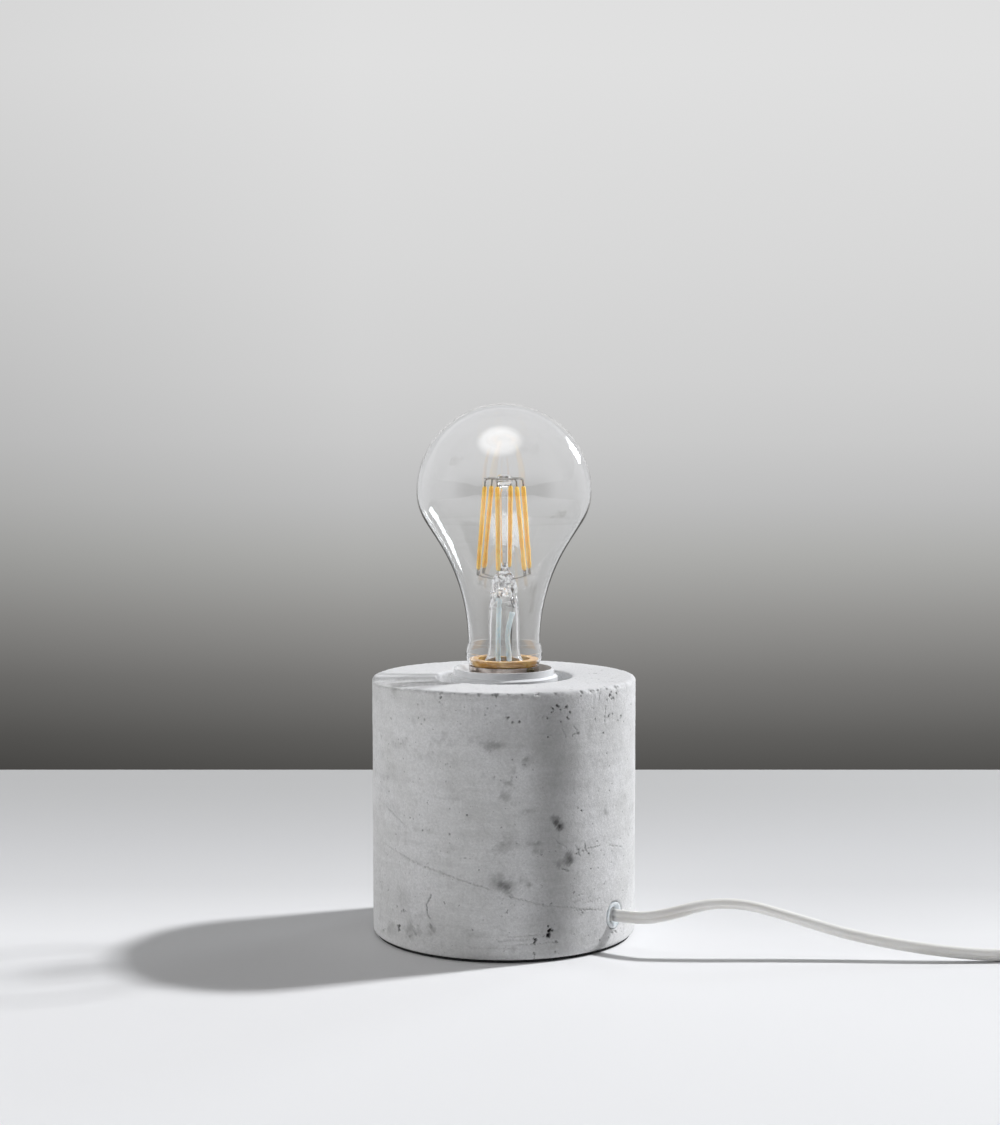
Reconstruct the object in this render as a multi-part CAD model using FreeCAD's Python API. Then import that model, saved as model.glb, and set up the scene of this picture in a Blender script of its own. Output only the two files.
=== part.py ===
import FreeCAD, Part
import math
import os

os.makedirs("parts", exist_ok=True)
Vector = FreeCAD.Vector

# Driving dimensions of the concrete body, in millimetres and degrees
body_radius = 50.0
body_height = 97.0
rim_round = 1.2
foot_chamfer = 0.8
well_radius = 25.5
well_lip = 0.6
web_thickness = 16.0
pocket_radius = 32.0
pocket_depth = 23.0
pad_thickness = 1.0
pad_inset = 1.5
facet_angle = 236.5
facet_slope = 2.8
facet_wall_offset = 3.5

# Clearances
fit_gap = 0.05
free_gap = 0.3
contact_gap = 0.1
cut_overrun = 5.0

# Cord and its way into the body
cord_radius = 2.4
cord_angle = -35.0
cord_height = 12.5
bush_radius = 5.0
bush_end_radius = 4.4
bush_inner_stand = 4.0
bush_sink = 0.4
bush_hole_gap = 0.15
core_radius = 1.0
core_spacing = 2.4
sheath_stop = 13.0
exit_run = 11.0
arc_reach_share = 0.45

# Cord anchorage under the web
anchor_reach = 20.0
anchor_length = 10.0
anchor_width = 17.0
anchor_split = 0.2
plate_thickness = 4.0
anchor_screw_radius = 1.5
anchor_screw_spacing = 11.2
anchor_screw_grip = 8.0
anchor_head_radius = 2.6
anchor_head_height = 1.8

# Threaded tube, its washers and nut
tube_radius = 5.0
tube_bore_radius = 3.75
tube_top_stand = 0.9
tube_foot_stand = 2.0
washer_thickness = 1.0
washer_radius = 10.0
nut_flats = 14.0
nut_height = 4.0

# Lampholder
holder_radius = 20.0
holder_wall = 1.8
dome_neck_radius = 8.0
dome_neck_height = 6.0
dome_cone_height = 10.0
dome_floor_height = 8.1
dome_floor_radius = 6.5
dome_ledge_height = 5.0
dome_ledge_width = 2.2
dome_rim_height = 4.0
insert_thickness = 8.0
skirt_height = 32.6
bead_stand = 0.4
bead_height = 2.6
bead_slope_height = 0.7
lip_radius = 19.1
lip_height = 2.4
lip_wall = 1.0
funnel_depth = 3.6
liner_wall = 1.95
liner_web = 1.5

# Lampholder contacts and terminals
contact_thickness = 0.5
contact_width = 3.0
terminal_offset = 8.5
terminal_size = 6.0
terminal_bore_gap = 0.15
terminal_bore_depth = 4.0
terminal_screw_radius = 1.3
terminal_head_radius = 1.6
terminal_head_height = 1.2
centre_contact_reach = 2.5
centre_contact_bend = 3.5
side_contact_radius = 12.6
side_contact_bend = 3.0

# Screw thread of the bulb cap
thread_pitch = 3.629
thread_turns = 4
thread_crest = 13.15
thread_root = 12.13
thread_half_width = 1.15
thread_rise = 2.7
holder_thread_turns = 3.5
holder_thread_half_width = 0.75
thread_root_overlap = 0.15

# Bulb cap
cap_seat_height = 6.0
cap_wall = 0.4
cap_corner = 0.95
cap_corner_height = 1.2
cap_length = 23.0
collar_radius = 13.25
collar_height = 2.8
collar_step = 1.2
button_radius = 4.8
button_height = 0.5
button_stem_radius = 1.3
button_stem_length = 3.4
button_hole_gap = 0.2
insulator_drop = 2.4
insulator_lap = 0.6
driver_thickness = 1.2
driver_width = 18.0
driver_height = 16.4
capacitor_radius = 3.0
capacitor_length = 9.0
coil_part_size = 5.0
chip_length = 6.0
chip_height = 1.6
chip_height_shares = (0.15, 0.55)

# Glass, with heights counted from the top of the cap's collar
glass_wall = 0.8
glass_tail_radius = 12.2
glass_tail_depth = 2.1
glass_tail_top = -0.5
glass_flare_radius = 13.3
glass_flare_rise = 0.5
glass_bead_radius = 14.65
glass_bead_rise = 5.0
glass_bead_swell = 0.3
glass_neck_radius = 13.7
glass_neck_rise = 8.6
glass_neck_curve = 71.3
globe_radius = 33.2
globe_rise = 66.1
shoulder_curve = 21.4
cement_top = 2.6
cement_width = 3.2

# Glass stem and filaments
stem_flare_radius = 10.5
stem_foot_depth = 1.0
stem_flare_top = 3.0
stem_radius = 6.0
stem_bore_radius = 5.0
stem_tube_top = 23.0
stem_press_radius = 4.4
stem_press_low = 28.0
stem_press_top = 35.0
stem_rod_radius = 1.5
stem_rod_low = 37.0
stem_rod_top = 68.0
stem_button_radius = 2.4
stem_button_rise = 70.0
stem_tip_rise = 72.5
stem_bore_top = 24.0
filament_count = 6
filament_radius = 0.8
filament_low_ring = 10.2
filament_top_ring = 7.4
filament_low_turn = 18.0
filament_top_turn = 10.0
filament_low_rise = 36.7
filament_top_rise = 68.0
support_radius = 0.3
support_low_rise = 31.5
lead_radius = 0.3
lead_spacing = 4.8
sleeve_radius = 1.0
sleeve_foot_depth = 2.0
sleeve_top_rise = 22.0

# In-line switch
switch_spot = Vector(237.0, -42.0, 0)
switch_length = 60.0
switch_width = 27.0
switch_wall = 2.0
switch_round = 2.5
switch_axis_height = 7.5
switch_height = 17.0
switch_cord_stop = 7.5
switch_rib_inset = 4.5
switch_rib_width = 2.0
switch_block_offset = 13.0
switch_block_side = 5.0
switch_block_size = 6.0
switch_strip_thickness = 0.4
switch_strip_width = 4.0
switch_strip_lap = 2.0
switch_boss_offset = 20.0
switch_boss_side = 9.0
switch_boss_radius = 3.0
switch_screw_radius = 1.3
switch_screw_head = 2.4
switch_screw_head_height = 1.5
switch_screw_top = 12.0
switch_head_sink = 0.5
through_core_side = 5.0
through_core_height = 4.0
rocker_half_length = 11.0
rocker_width = 12.0
rocker_pivot_height = 13.2
rocker_swing = 16.0
rocker_end_height = 5.6
rocker_edge_height = 3.2
rocker_dip_height = 4.0
rocker_end_inset = 0.4
rocker_nose_half = 1.2
rocker_nose_depth = 3.9
rocker_shoulder_half = 4.0
rocker_shoulder_depth = 1.5
rocker_pin_radius = 1.2
rocker_pin_length = 1.6
rocker_window_half = 11.9
cheek_thickness = 1.8
cheek_half_length = 4.0
cheek_depth = 4.0

# Mains plug
plug_spot = Vector(267.9, 22.0, 22.35)
plug_turn = 0.0
plug_half_width = 17.6
plug_thickness = 13.7
plug_front_length = 14.0
plug_body_length = 36.0
plug_waist_half_width = 7.0
plug_tail_half_width = 5.0
plug_tail_length = 4.0
plug_round = 1.5
plug_pin_radius = 2.0
plug_pin_length = 19.0
plug_pin_spacing = 18.6
plug_pin_sleeve_length = 10.0
plug_pin_core_radius = 1.6
plug_sleeve_length = 20.0
plug_sleeve_radius = 4.6
plug_sleeve_end_radius = 3.5
plug_cord_depth = 6.0

# Put-away coil of cord and its tie
coil_centre = Vector(278.0, 12.0, 0)
coil_radius = 33.0
coil_pitch = 5.4
coil_layers = 4
coil_layer_turns = 2
coil_turns = 8.0
coil_lift = 1.3
coil_gap_samples = 900
tie_thickness = 0.6
tie_width = 6.0
tie_gap = 0.6
tie_turn = 0.375

# Heights that stack up from the table
body_low = pad_thickness
body_top = body_low + body_height
web_low = body_low + pocket_depth
well_floor = web_low + web_thickness
dome_low = well_floor + washer_thickness
dome_neck_top = dome_low + dome_neck_height
dome_cone_top = dome_neck_top + dome_cone_height
insert_low = dome_cone_top + dome_ledge_height
dome_top = insert_low + dome_rim_height
insert_top = insert_low + insert_thickness
skirt_top = dome_top + skirt_height
cap_low = insert_top + cap_seat_height
shell_low = cap_low + button_height + contact_gap + insulator_drop
collar_top = shell_low + cap_length
thread_low = shell_low + thread_rise
tube_top = dome_low + dome_floor_height + tube_top_stand
lower_washer_low = web_low - washer_thickness
nut_low = lower_washer_low - nut_height
tube_low = nut_low - tube_foot_stand
holder_bore = holder_radius - holder_wall
liner_bore = thread_crest + free_gap
cord_way = Vector(math.cos(math.radians(cord_angle)), math.sin(math.radians(cord_angle)), 0)
cord_side = Vector(-cord_way.y, cord_way.x, 0)
exit_reach = body_radius - bush_sink
bush_start = pocket_radius - bush_inner_stand
terminal_turn = cord_angle + 90


def save(name, shape):
    """Write one node, as one solid or as a group of solids."""
    if not shape.isValid():
        print("not valid:", name)
    shape.exportStep("parts/" + name + ".step")


def polygon(corners):
    """A closed wire through the corners."""
    ends = corners[1:] + corners[:1]
    return Part.Wire([Part.LineSegment(a, b).toShape() for a, b in zip(corners, ends)])


def turned(outline):
    """A solid of revolution about the vertical axis from (radius, height) corners."""
    face = Part.Face(polygon([Vector(radius, 0, height) for radius, height in outline]))
    return face.revolve(Vector(0, 0, 0), Vector(0, 0, 1), 360)


def rod(radius, low, high, x=0, y=0):
    """An upright cylinder between two heights."""
    return Part.makeCylinder(radius, high - low, Vector(x, y, low))


def sleeve(outer, bore, low, high, x=0, y=0):
    """An upright tube between two heights."""
    return rod(outer, low, high, x, y).cut(rod(bore, low - cut_overrun, high + cut_overrun, x, y))


def bar(start, end, radius):
    """A round bar between two points."""
    way = end - start
    return Part.makeCylinder(radius, way.Length, start, way)


def block(x_low, x_high, y_low, y_high, z_low, z_high):
    """A box between its limits."""
    size = Vector(x_high - x_low, y_high - y_low, z_high - z_low)
    return Part.makeBox(size.x, size.y, size.z, Vector(x_low, y_low, z_low))


def strip(outline, width, middle=0):
    """A bent strip: an outline of (x, z) corners, drawn out evenly along Y."""
    low = middle - width / 2
    face = Part.Face(polygon([Vector(x, low, z) for x, z in outline]))
    return face.extrude(Vector(0, width, 0))


def slab(outline, low, high):
    """An upright prism over an outline of (x, y) corners."""
    face = Part.Face(polygon([Vector(x, y, low) for x, y in outline]))
    return face.extrude(Vector(0, 0, high - low))


def spun(shape, angle, spot=Vector(0, 0, 0)):
    """A copy turned about the vertical axis and then moved."""
    copy = shape.copy()
    copy.rotate(Vector(0, 0, 0), Vector(0, 0, 1), angle)
    copy.translate(spot)
    return copy


def joined(shapes):
    """One solid out of overlapping ones."""
    return shapes[0].fuse(shapes[1:]).removeSplitter()


def on_ring(radius, angle, height):
    """A point at a radius, an angle in degrees and a height."""
    turn = math.radians(angle)
    return Vector(radius * math.cos(turn), radius * math.sin(turn), height)


def along_cord(shape):
    """Lay a shape built along Z so that its height runs outwards along the cord's hole."""
    copy = shape.copy()
    copy.rotate(Vector(0, 0, 0), Vector(0, 1, 0), 90)
    copy.rotate(Vector(0, 0, 0), Vector(0, 0, 1), cord_angle)
    copy.translate(Vector(0, 0, cord_height))
    return copy


def arc_at(corner, start, end):
    """The arc from start to end that touches both legs of a corner."""
    back = start - corner
    ahead = end - corner
    half_corner = back.getAngle(ahead) / 2
    radius = back.Length * math.tan(half_corner)
    bisector = (back.normalize() + ahead.normalize()).normalize()
    middle = corner + bisector * (radius / math.sin(half_corner) - radius)
    return Part.Arc(start, middle, end).toShape(), radius


def rounded_path(route):
    """Straight runs joined by tangent arcs, each as large as its two runs allow."""
    edges = []
    radii = []
    start = route[0]
    for before, corner, after in zip(route, route[1:], route[2:]):
        into = corner - before
        out = after - corner
        reach = arc_reach_share * min(into.Length, out.Length)
        first = corner - into.normalize() * reach
        last = corner + out.normalize() * reach
        edges.append(Part.LineSegment(start, first).toShape())
        arc, radius = arc_at(corner, first, last)
        edges.append(arc)
        radii.append(radius)
        start = last
    edges.append(Part.LineSegment(start, route[-1]).toShape())
    return Part.Wire(edges), radii


def swept(path, start, way, radius):
    """A round tube along a path."""
    ring = Part.Wire([Part.makeCircle(radius, start, way)])
    return path.makePipeShell([ring], True, False)


def tube(name, route, radius):
    """A round tube along a route, with its radii and volume printed."""
    path, radii = rounded_path(route)
    shape = swept(path, route[0], route[1] - route[0], radius)
    expected = math.pi * radius ** 2 * path.Length
    print(name, "length", round(path.Length, 1), "tightest", round(min(radii), 1),
          "radii", [round(value, 1) for value in radii],
          "volume ratio", round(shape.Volume / expected, 4))
    return shape


def ridge(root, crest, half_width, low, turns, overlap):
    """A helical thread ridge whose middle starts at a height; overlap goes into the wall."""
    inside = root - overlap
    upper = Vector(inside, 0, low + half_width)
    lower = Vector(inside, 0, low - half_width)
    edges = [Part.Arc(lower, Vector(crest, 0, low), upper).toShape(),
             Part.LineSegment(upper, lower).toShape()]
    helix = Part.makeHelix(thread_pitch, thread_pitch * turns, root)
    helix.translate(Vector(0, 0, low))
    thread = Part.Wire(helix.Edges).makePipeShell([Part.Wire(edges)], True, True)
    return thread if thread.Volume > 0 else thread.reversed()


def concrete_body():
    """Cast body: turned blank, well, pocket, web hole, cord hole and the sunk facet."""
    blank = turned([
        (tube_radius + free_gap, web_low), (pocket_radius, web_low), (pocket_radius, body_low),
        (body_radius - foot_chamfer, body_low), (body_radius, body_low + foot_chamfer),
        (body_radius, body_top), (well_radius + well_lip, body_top),
        (well_radius, body_top - well_lip), (well_radius, well_floor),
        (tube_radius + free_gap, well_floor)])
    rim = [edge for edge in blank.Edges if len(edge.Vertexes) == 1
           and edge.BoundBox.ZMin > body_top - fit_gap and edge.BoundBox.XMax > body_radius - fit_gap]
    blank = blank.makeFillet(rim_round, rim)
    facet = block(0, body_radius + cut_overrun, -body_radius - cut_overrun, 0, 0, cut_overrun)
    facet.rotate(Vector(0, 0, 0), Vector(1, 0, 0), facet_slope)
    facet = spun(facet, facet_angle, Vector(0, 0, body_top))
    reach = body_radius + cut_overrun
    front = block(-reach, 0, -reach, -facet_wall_offset, body_top - cut_overrun,
                  body_top + 2 * cut_overrun)
    hole_radius = bush_radius + bush_hole_gap
    cord_hole = along_cord(rod(hole_radius, bush_start, reach))
    body = blank.cut(facet.common(front)).cut(cord_hole)
    for side in (-1, 1):
        spot = cord_way * anchor_reach + cord_side * (side * anchor_screw_spacing / 2)
        body = body.cut(rod(anchor_screw_radius + fit_gap, web_low - cut_overrun,
                            web_low + anchor_screw_grip + fit_gap, spot.x, spot.y))
    return body


def base_pad():
    return rod(body_radius - pad_inset, 0, pad_thickness)


def cable_bush():
    """Tapered bush in the cord hole, flush with the outside of the body."""
    bore = cord_radius + free_gap
    return along_cord(turned([(bore, bush_start), (bush_end_radius, bush_start), (bush_radius, exit_reach),
                              (bore, exit_reach)]))


def anchorage():
    """Block under the web, clamp plate and two screws, with the sheath's groove between."""
    middle = Vector(anchor_reach, 0, 0)
    half = anchor_length / 2
    side = anchor_width / 2
    upper_low = cord_height + anchor_split
    plate_top = cord_height - anchor_split
    plate_low = plate_top - plate_thickness
    groove = rod(cord_radius + fit_gap, 0, body_radius)
    groove.rotate(Vector(0, 0, 0), Vector(0, 1, 0), 90)
    groove.translate(Vector(0, 0, cord_height))
    upper = block(middle.x - half, middle.x + half, -side, side, upper_low, web_low).cut(groove)
    lower = block(middle.x - half, middle.x + half, -side, side, plate_low, plate_top).cut(groove)
    screws = []
    for turn in (-1, 1):
        y = turn * anchor_screw_spacing / 2
        hole = rod(anchor_screw_radius + fit_gap, plate_low - cut_overrun, web_low + cut_overrun,
                   middle.x, y)
        upper = upper.cut(hole)
        lower = lower.cut(hole)
        shank = rod(anchor_screw_radius, plate_low, web_low + anchor_screw_grip, middle.x, y)
        head = rod(anchor_head_radius, plate_low - anchor_head_height, plate_low, middle.x, y)
        screws.append(joined([shank, head]))
    save("anchor_block", spun(upper, cord_angle))
    save("anchor_plate", spun(lower, cord_angle))
    save("anchor_screws", spun(Part.makeCompound(screws), cord_angle))


def inner_cable():
    """Sheath from the bush to behind the anchorage, then two cores up the threaded tube."""
    start = cord_way * sheath_stop + Vector(0, 0, cord_height)
    end = cord_way * exit_reach + Vector(0, 0, cord_height)
    save("inner_sheath", bar(start, end, cord_radius))
    bend = tube_top + 2 * core_radius
    terminal_low = insert_low - terminal_size
    rise = terminal_low - 3 * core_radius
    end_height = terminal_low + terminal_bore_depth - core_radius / 2
    for name, side in (("live_wire", 1), ("neutral_wire", -1)):
        near = cord_side * (side * core_spacing / 2)
        far = cord_side * (side * terminal_offset)
        route = [start + near, near + Vector(0, 0, cord_height), near + Vector(0, 0, bend),
                 far + Vector(0, 0, rise), far + Vector(0, 0, end_height)]
        save(name, tube(name, route, core_radius))


def holder_fixings():
    """Threaded tube, the washers above and below the web, and the lock nut."""
    save("threaded_tube", sleeve(tube_radius, tube_bore_radius, tube_low, tube_top))
    bore = tube_radius + fit_gap
    save("upper_washer", sleeve(washer_radius, bore, well_floor, dome_low))
    save("lower_washer", sleeve(washer_radius, bore, lower_washer_low, web_low))
    corner_radius = nut_flats / math.sqrt(3)
    corners = [on_ring(corner_radius, 60 * side, 0) for side in range(6)]
    nut = slab([(spot.x, spot.y) for spot in corners], nut_low, lower_washer_low)
    save("lock_nut", nut.cut(rod(bore, nut_low - cut_overrun, lower_washer_low + cut_overrun)))


def holder_dome():
    """Lower half of the lampholder, from its neck to the rim that carries the skirt."""
    bore = tube_radius + fit_gap
    ledge = holder_bore - dome_ledge_width
    floor = dome_low + dome_floor_height
    return turned([
        (bore, dome_low), (dome_neck_radius, dome_low), (dome_neck_radius, dome_neck_top),
        (holder_radius, dome_cone_top), (holder_radius, dome_top), (holder_bore, dome_top),
        (holder_bore, insert_low), (ledge, insert_low), (ledge, dome_cone_top),
        (dome_floor_radius, floor), (bore, floor)])


def holder_insert():
    """Contact carrier with a slot for each contact's leg."""
    disc = rod(holder_bore - free_gap, insert_low, insert_top)
    half = contact_thickness / 2 + fit_gap
    width = contact_width / 2 + fit_gap
    for side in (-1, 1):
        middle = side * terminal_offset
        slot = block(middle - half, middle + half, -width, width, insert_low - cut_overrun,
                     insert_top + cut_overrun)
        disc = disc.cut(spun(slot, terminal_turn))
    return disc


def holder_contacts():
    """Centre and side contact strips, each with a leg down to its terminal block."""
    half = contact_thickness / 2
    low = insert_top
    top = low + contact_thickness
    tip = cap_low - free_gap
    inner = tip - contact_thickness
    foot = -terminal_offset
    centre = strip([
        (foot - half, insert_low), (foot + half, insert_low), (foot + half, low),
        (-terminal_offset + centre_contact_bend, low), (-centre_contact_reach, inner),
        (centre_contact_reach, inner), (centre_contact_reach, tip), (-centre_contact_reach, tip),
        (-terminal_offset + centre_contact_bend, top), (foot - half, top)], contact_width)
    save("centre_contact", spun(centre, terminal_turn))
    side_tip = shell_low - free_gap
    reach = thread_root - cap_corner
    bend = low + side_contact_bend
    side = strip([
        (terminal_offset - half, insert_low), (terminal_offset + half, insert_low),
        (terminal_offset + half, low), (side_contact_radius + half, low),
        (side_contact_radius + half, bend), (reach + half, side_tip), (reach - half, side_tip),
        (side_contact_radius - half, bend), (side_contact_radius - half, top),
        (terminal_offset - half, top)], contact_width)
    save("side_contact", spun(side, terminal_turn))


def holder_terminals():
    """Two terminal blocks under the insert, each with a wire hole and a side screw."""
    half = terminal_size / 2
    low = insert_low - terminal_size
    bore = core_radius + terminal_bore_gap
    screw_height = low + terminal_size / 2
    blocks = []
    screws = []
    for side in (-1, 1):
        middle = side * terminal_offset
        body = block(middle - half, middle + half, -half, half, low, insert_low)
        body = body.cut(rod(bore, low - cut_overrun, low + terminal_bore_depth, middle, 0))
        outside = middle + side * half
        inside = middle + side * (bore + fit_gap)
        axis = Vector(side, 0, 0)
        hole = Part.makeCylinder(terminal_screw_radius + fit_gap, terminal_size,
                                 Vector(middle, 0, screw_height), axis)
        body = body.cut(hole)
        shank = bar(Vector(inside, 0, screw_height), Vector(outside, 0, screw_height),
                    terminal_screw_radius)
        head = Part.makeCylinder(terminal_head_radius, terminal_head_height,
                                 Vector(outside, 0, screw_height), axis)
        blocks.append(body)
        screws.append(joined([shank, head]))
    save("terminal_blocks", spun(Part.makeCompound(blocks), terminal_turn))
    save("terminal_screws", spun(Part.makeCompound(screws), terminal_turn))


def holder_skirt():
    """Upper half of the lampholder: wall, bead, lip, funnel and the threaded liner."""
    bead_low = skirt_top - bead_height
    liner_outer = liner_bore + liner_wall
    lip_top = skirt_top + lip_height
    funnel_low = lip_top - funnel_depth - lip_height
    web = funnel_low - liner_web
    shell = turned([
        (holder_bore, dome_top), (holder_radius, dome_top),
        (holder_radius, bead_low - bead_slope_height), (holder_radius + bead_stand, bead_low),
        (holder_radius + bead_stand, skirt_top - bead_slope_height),
        (holder_radius - bead_stand, skirt_top - bead_stand / 2), (lip_radius, skirt_top),
        (lip_radius, lip_top), (lip_radius - lip_wall, lip_top),
        (lip_radius - 2 * lip_wall, skirt_top), (liner_bore, funnel_low),
        (liner_bore, insert_top), (liner_outer, insert_top), (liner_outer, web),
        (holder_bore, web + bead_slope_height)])
    low = thread_low - thread_pitch / 2
    crest = thread_root + free_gap
    thread = ridge(liner_bore, crest, holder_thread_half_width, low, holder_thread_turns,
                   -thread_root_overlap)
    return shell.fuse(thread)


def cap_shell():
    """Threaded metal shell of the bulb's cap, with its wider collar."""
    root = thread_root
    step = collar_top - collar_height
    outer = [(root - cap_corner, shell_low), (root, shell_low + cap_corner_height),
             (root, step - collar_step), (collar_radius, step), (collar_radius, collar_top)]
    inner = [(collar_radius - cap_wall, collar_top), (collar_radius - cap_wall, step + cap_wall / 2),
             (root - cap_wall, step - collar_step + cap_wall / 2),
             (root - cap_wall, shell_low + cap_corner_height + cap_wall / 2),
             (root - cap_corner - cap_wall, shell_low + cap_wall / 2)]
    thread = ridge(root, thread_crest, thread_half_width, thread_low, thread_turns,
                   thread_root_overlap)
    return turned(outer + inner).fuse(thread)


def cap_bottom():
    """Insulator and the contact button, whose stem stands in the insulator's hole."""
    low = cap_low + button_height + contact_gap
    lap_radius = thread_root - cap_corner - cap_wall - insulator_lap / 2
    lap_height = shell_low + cap_corner_height + insulator_lap
    hole = button_stem_radius + button_hole_gap
    save("cap_insulator", turned([
        (hole, low), (button_radius + contact_gap, low), (lap_radius, shell_low),
        (thread_root - cap_wall - insulator_lap, lap_height), (hole, lap_height)]))
    button = rod(button_radius, cap_low, cap_low + button_height)
    stem = rod(button_stem_radius, cap_low, cap_low + button_height + button_stem_length)
    save("cap_contact", joined([button, stem]))


def driver():
    """Circuit board that stands in the cap, with its larger components."""
    low = shell_low + cap_corner_height + insulator_lap + contact_gap
    top = low + driver_height
    half = driver_thickness / 2
    save("driver_board", block(-driver_width / 2, driver_width / 2, -half, half, low, top))
    gap = half + contact_gap
    middle = (low + top) / 2
    can_y = gap + capacitor_radius
    can = rod(capacitor_radius, middle - capacitor_length / 2, middle + capacitor_length / 2,
              -coil_part_size, can_y)
    inductor = block(contact_gap, coil_part_size, gap, gap + coil_part_size,
                     middle - coil_part_size / 2, middle + coil_part_size / 2)
    chips = [block(-chip_length / 2, chip_length / 2, -gap - chip_height, -gap,
                   low + share * driver_height, low + share * driver_height + coil_part_size)
             for share in chip_height_shares]
    save("driver_parts", Part.makeCompound([can, inductor] + chips))


def cement_ring():
    """Cement under, around and inside the tail of the glass."""
    tail_low = collar_top - glass_tail_depth
    tail_top = collar_top + glass_tail_top
    flare = collar_top + glass_flare_rise
    top = collar_top + cement_top
    outer = collar_radius - cap_wall - fit_gap
    inner = stem_flare_radius + fit_gap
    bottom = collar_top - collar_height + cap_wall
    glass_in = glass_wall + fit_gap
    slope_share = (cement_top - glass_flare_rise) / (glass_bead_rise - glass_flare_rise)
    top_radius = (glass_flare_radius - glass_in
                  + slope_share * (glass_bead_radius - glass_flare_radius))
    return turned([
        (outer, tail_top), (outer, bottom), (inner, bottom), (inner, collar_top - stem_foot_depth),
        (top_radius - cement_width, top), (top_radius, top),
        (glass_flare_radius - glass_in, flare), (glass_tail_radius - glass_in, tail_top),
        (glass_tail_radius - glass_in, tail_low - fit_gap),
        (glass_tail_radius + fit_gap, tail_low - fit_gap), (glass_tail_radius + fit_gap, tail_top)])


def glass_side(inset):
    """Edges of one side of the glass, from its tail to its top, drawn in by an inset."""
    tail = glass_tail_radius - inset
    flare = Vector(glass_flare_radius - inset, 0, collar_top + glass_flare_rise)
    bead = Vector(glass_bead_radius - inset, 0, collar_top + glass_bead_rise)
    neck_height = collar_top + glass_neck_rise
    globe_height = collar_top + globe_rise
    neck = Vector(glass_neck_radius - inset, 0, neck_height)
    neck_curve = glass_neck_curve + inset
    shoulder = shoulder_curve - inset
    globe = globe_radius - inset
    neck_centre = Vector(glass_neck_radius + glass_neck_curve, 0, neck_height)
    shoulder_centre = Vector(globe_radius - shoulder_curve, 0, globe_height)
    across = neck_centre - shoulder_centre
    lean = (math.atan2(-across.z, across.x)
            - math.acos((glass_neck_curve + shoulder_curve) / across.Length))

    def neck_at(turn):
        return neck_centre + Vector(-math.cos(turn), 0, math.sin(turn)) * neck_curve

    def shoulder_at(turn):
        return shoulder_centre + Vector(math.cos(turn), 0, -math.sin(turn)) * shoulder

    low = Vector(tail, 0, collar_top - glass_tail_depth)
    tail_top = Vector(tail, 0, collar_top + glass_tail_top)
    flare_middle = (flare + bead) / 2 + Vector(glass_bead_swell, 0, 0)
    bead_middle = (bead + neck) / 2 + Vector(glass_bead_swell / 2, 0, 0)
    globe_middle = Vector(globe * math.sqrt(0.5), 0, globe_height + globe * math.sqrt(0.5))
    apex = Vector(0, 0, globe_height + globe)
    side = Vector(globe, 0, globe_height)
    curves = [
        Part.LineSegment(low, tail_top), Part.LineSegment(tail_top, flare),
        Part.Arc(flare, flare_middle, bead), Part.Arc(bead, bead_middle, neck),
        Part.Arc(neck, neck_at(lean / 2), neck_at(lean)),
        Part.LineSegment(neck_at(lean), shoulder_at(lean)),
        Part.Arc(shoulder_at(lean), shoulder_at(lean / 2), side),
        Part.Arc(side, globe_middle, apex)]
    return [curve.toShape() for curve in curves], low, apex


def glass_envelope():
    """Thin pear-shaped envelope, open only at its tail."""
    outer, outer_low, outer_top = glass_side(0)
    inner, inner_low, inner_top = glass_side(glass_wall)
    ends = [Part.LineSegment(outer_low, inner_low).toShape(),
            Part.LineSegment(outer_top, inner_top).toShape()]
    face = Part.Face(Part.Wire(Part.__sortEdges__(outer + inner + ends)))
    return face.revolve(Vector(0, 0, 0), Vector(0, 0, 1), 360)


def glass_stem():
    """Flared foot, hollow tube, press and centre rod with its end button."""
    foot = collar_top - stem_foot_depth
    wall = stem_radius - stem_bore_radius
    return turned([
        (stem_flare_radius - wall, foot), (stem_flare_radius, foot),
        (stem_radius + wall / 2, collar_top + stem_flare_top),
        (stem_radius, collar_top + 2 * stem_flare_top), (stem_radius, collar_top + stem_tube_top),
        (stem_press_radius, collar_top + stem_press_low),
        (stem_press_radius, collar_top + stem_press_top),
        (stem_rod_radius, collar_top + stem_rod_low), (stem_rod_radius, collar_top + stem_rod_top),
        (stem_button_radius, collar_top + stem_button_rise), (0, collar_top + stem_tip_rise),
        (0, collar_top + stem_bore_top + wall), (stem_bore_radius, collar_top + stem_bore_top),
        (stem_bore_radius, collar_top + stem_flare_top + wall / 2)])


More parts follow.
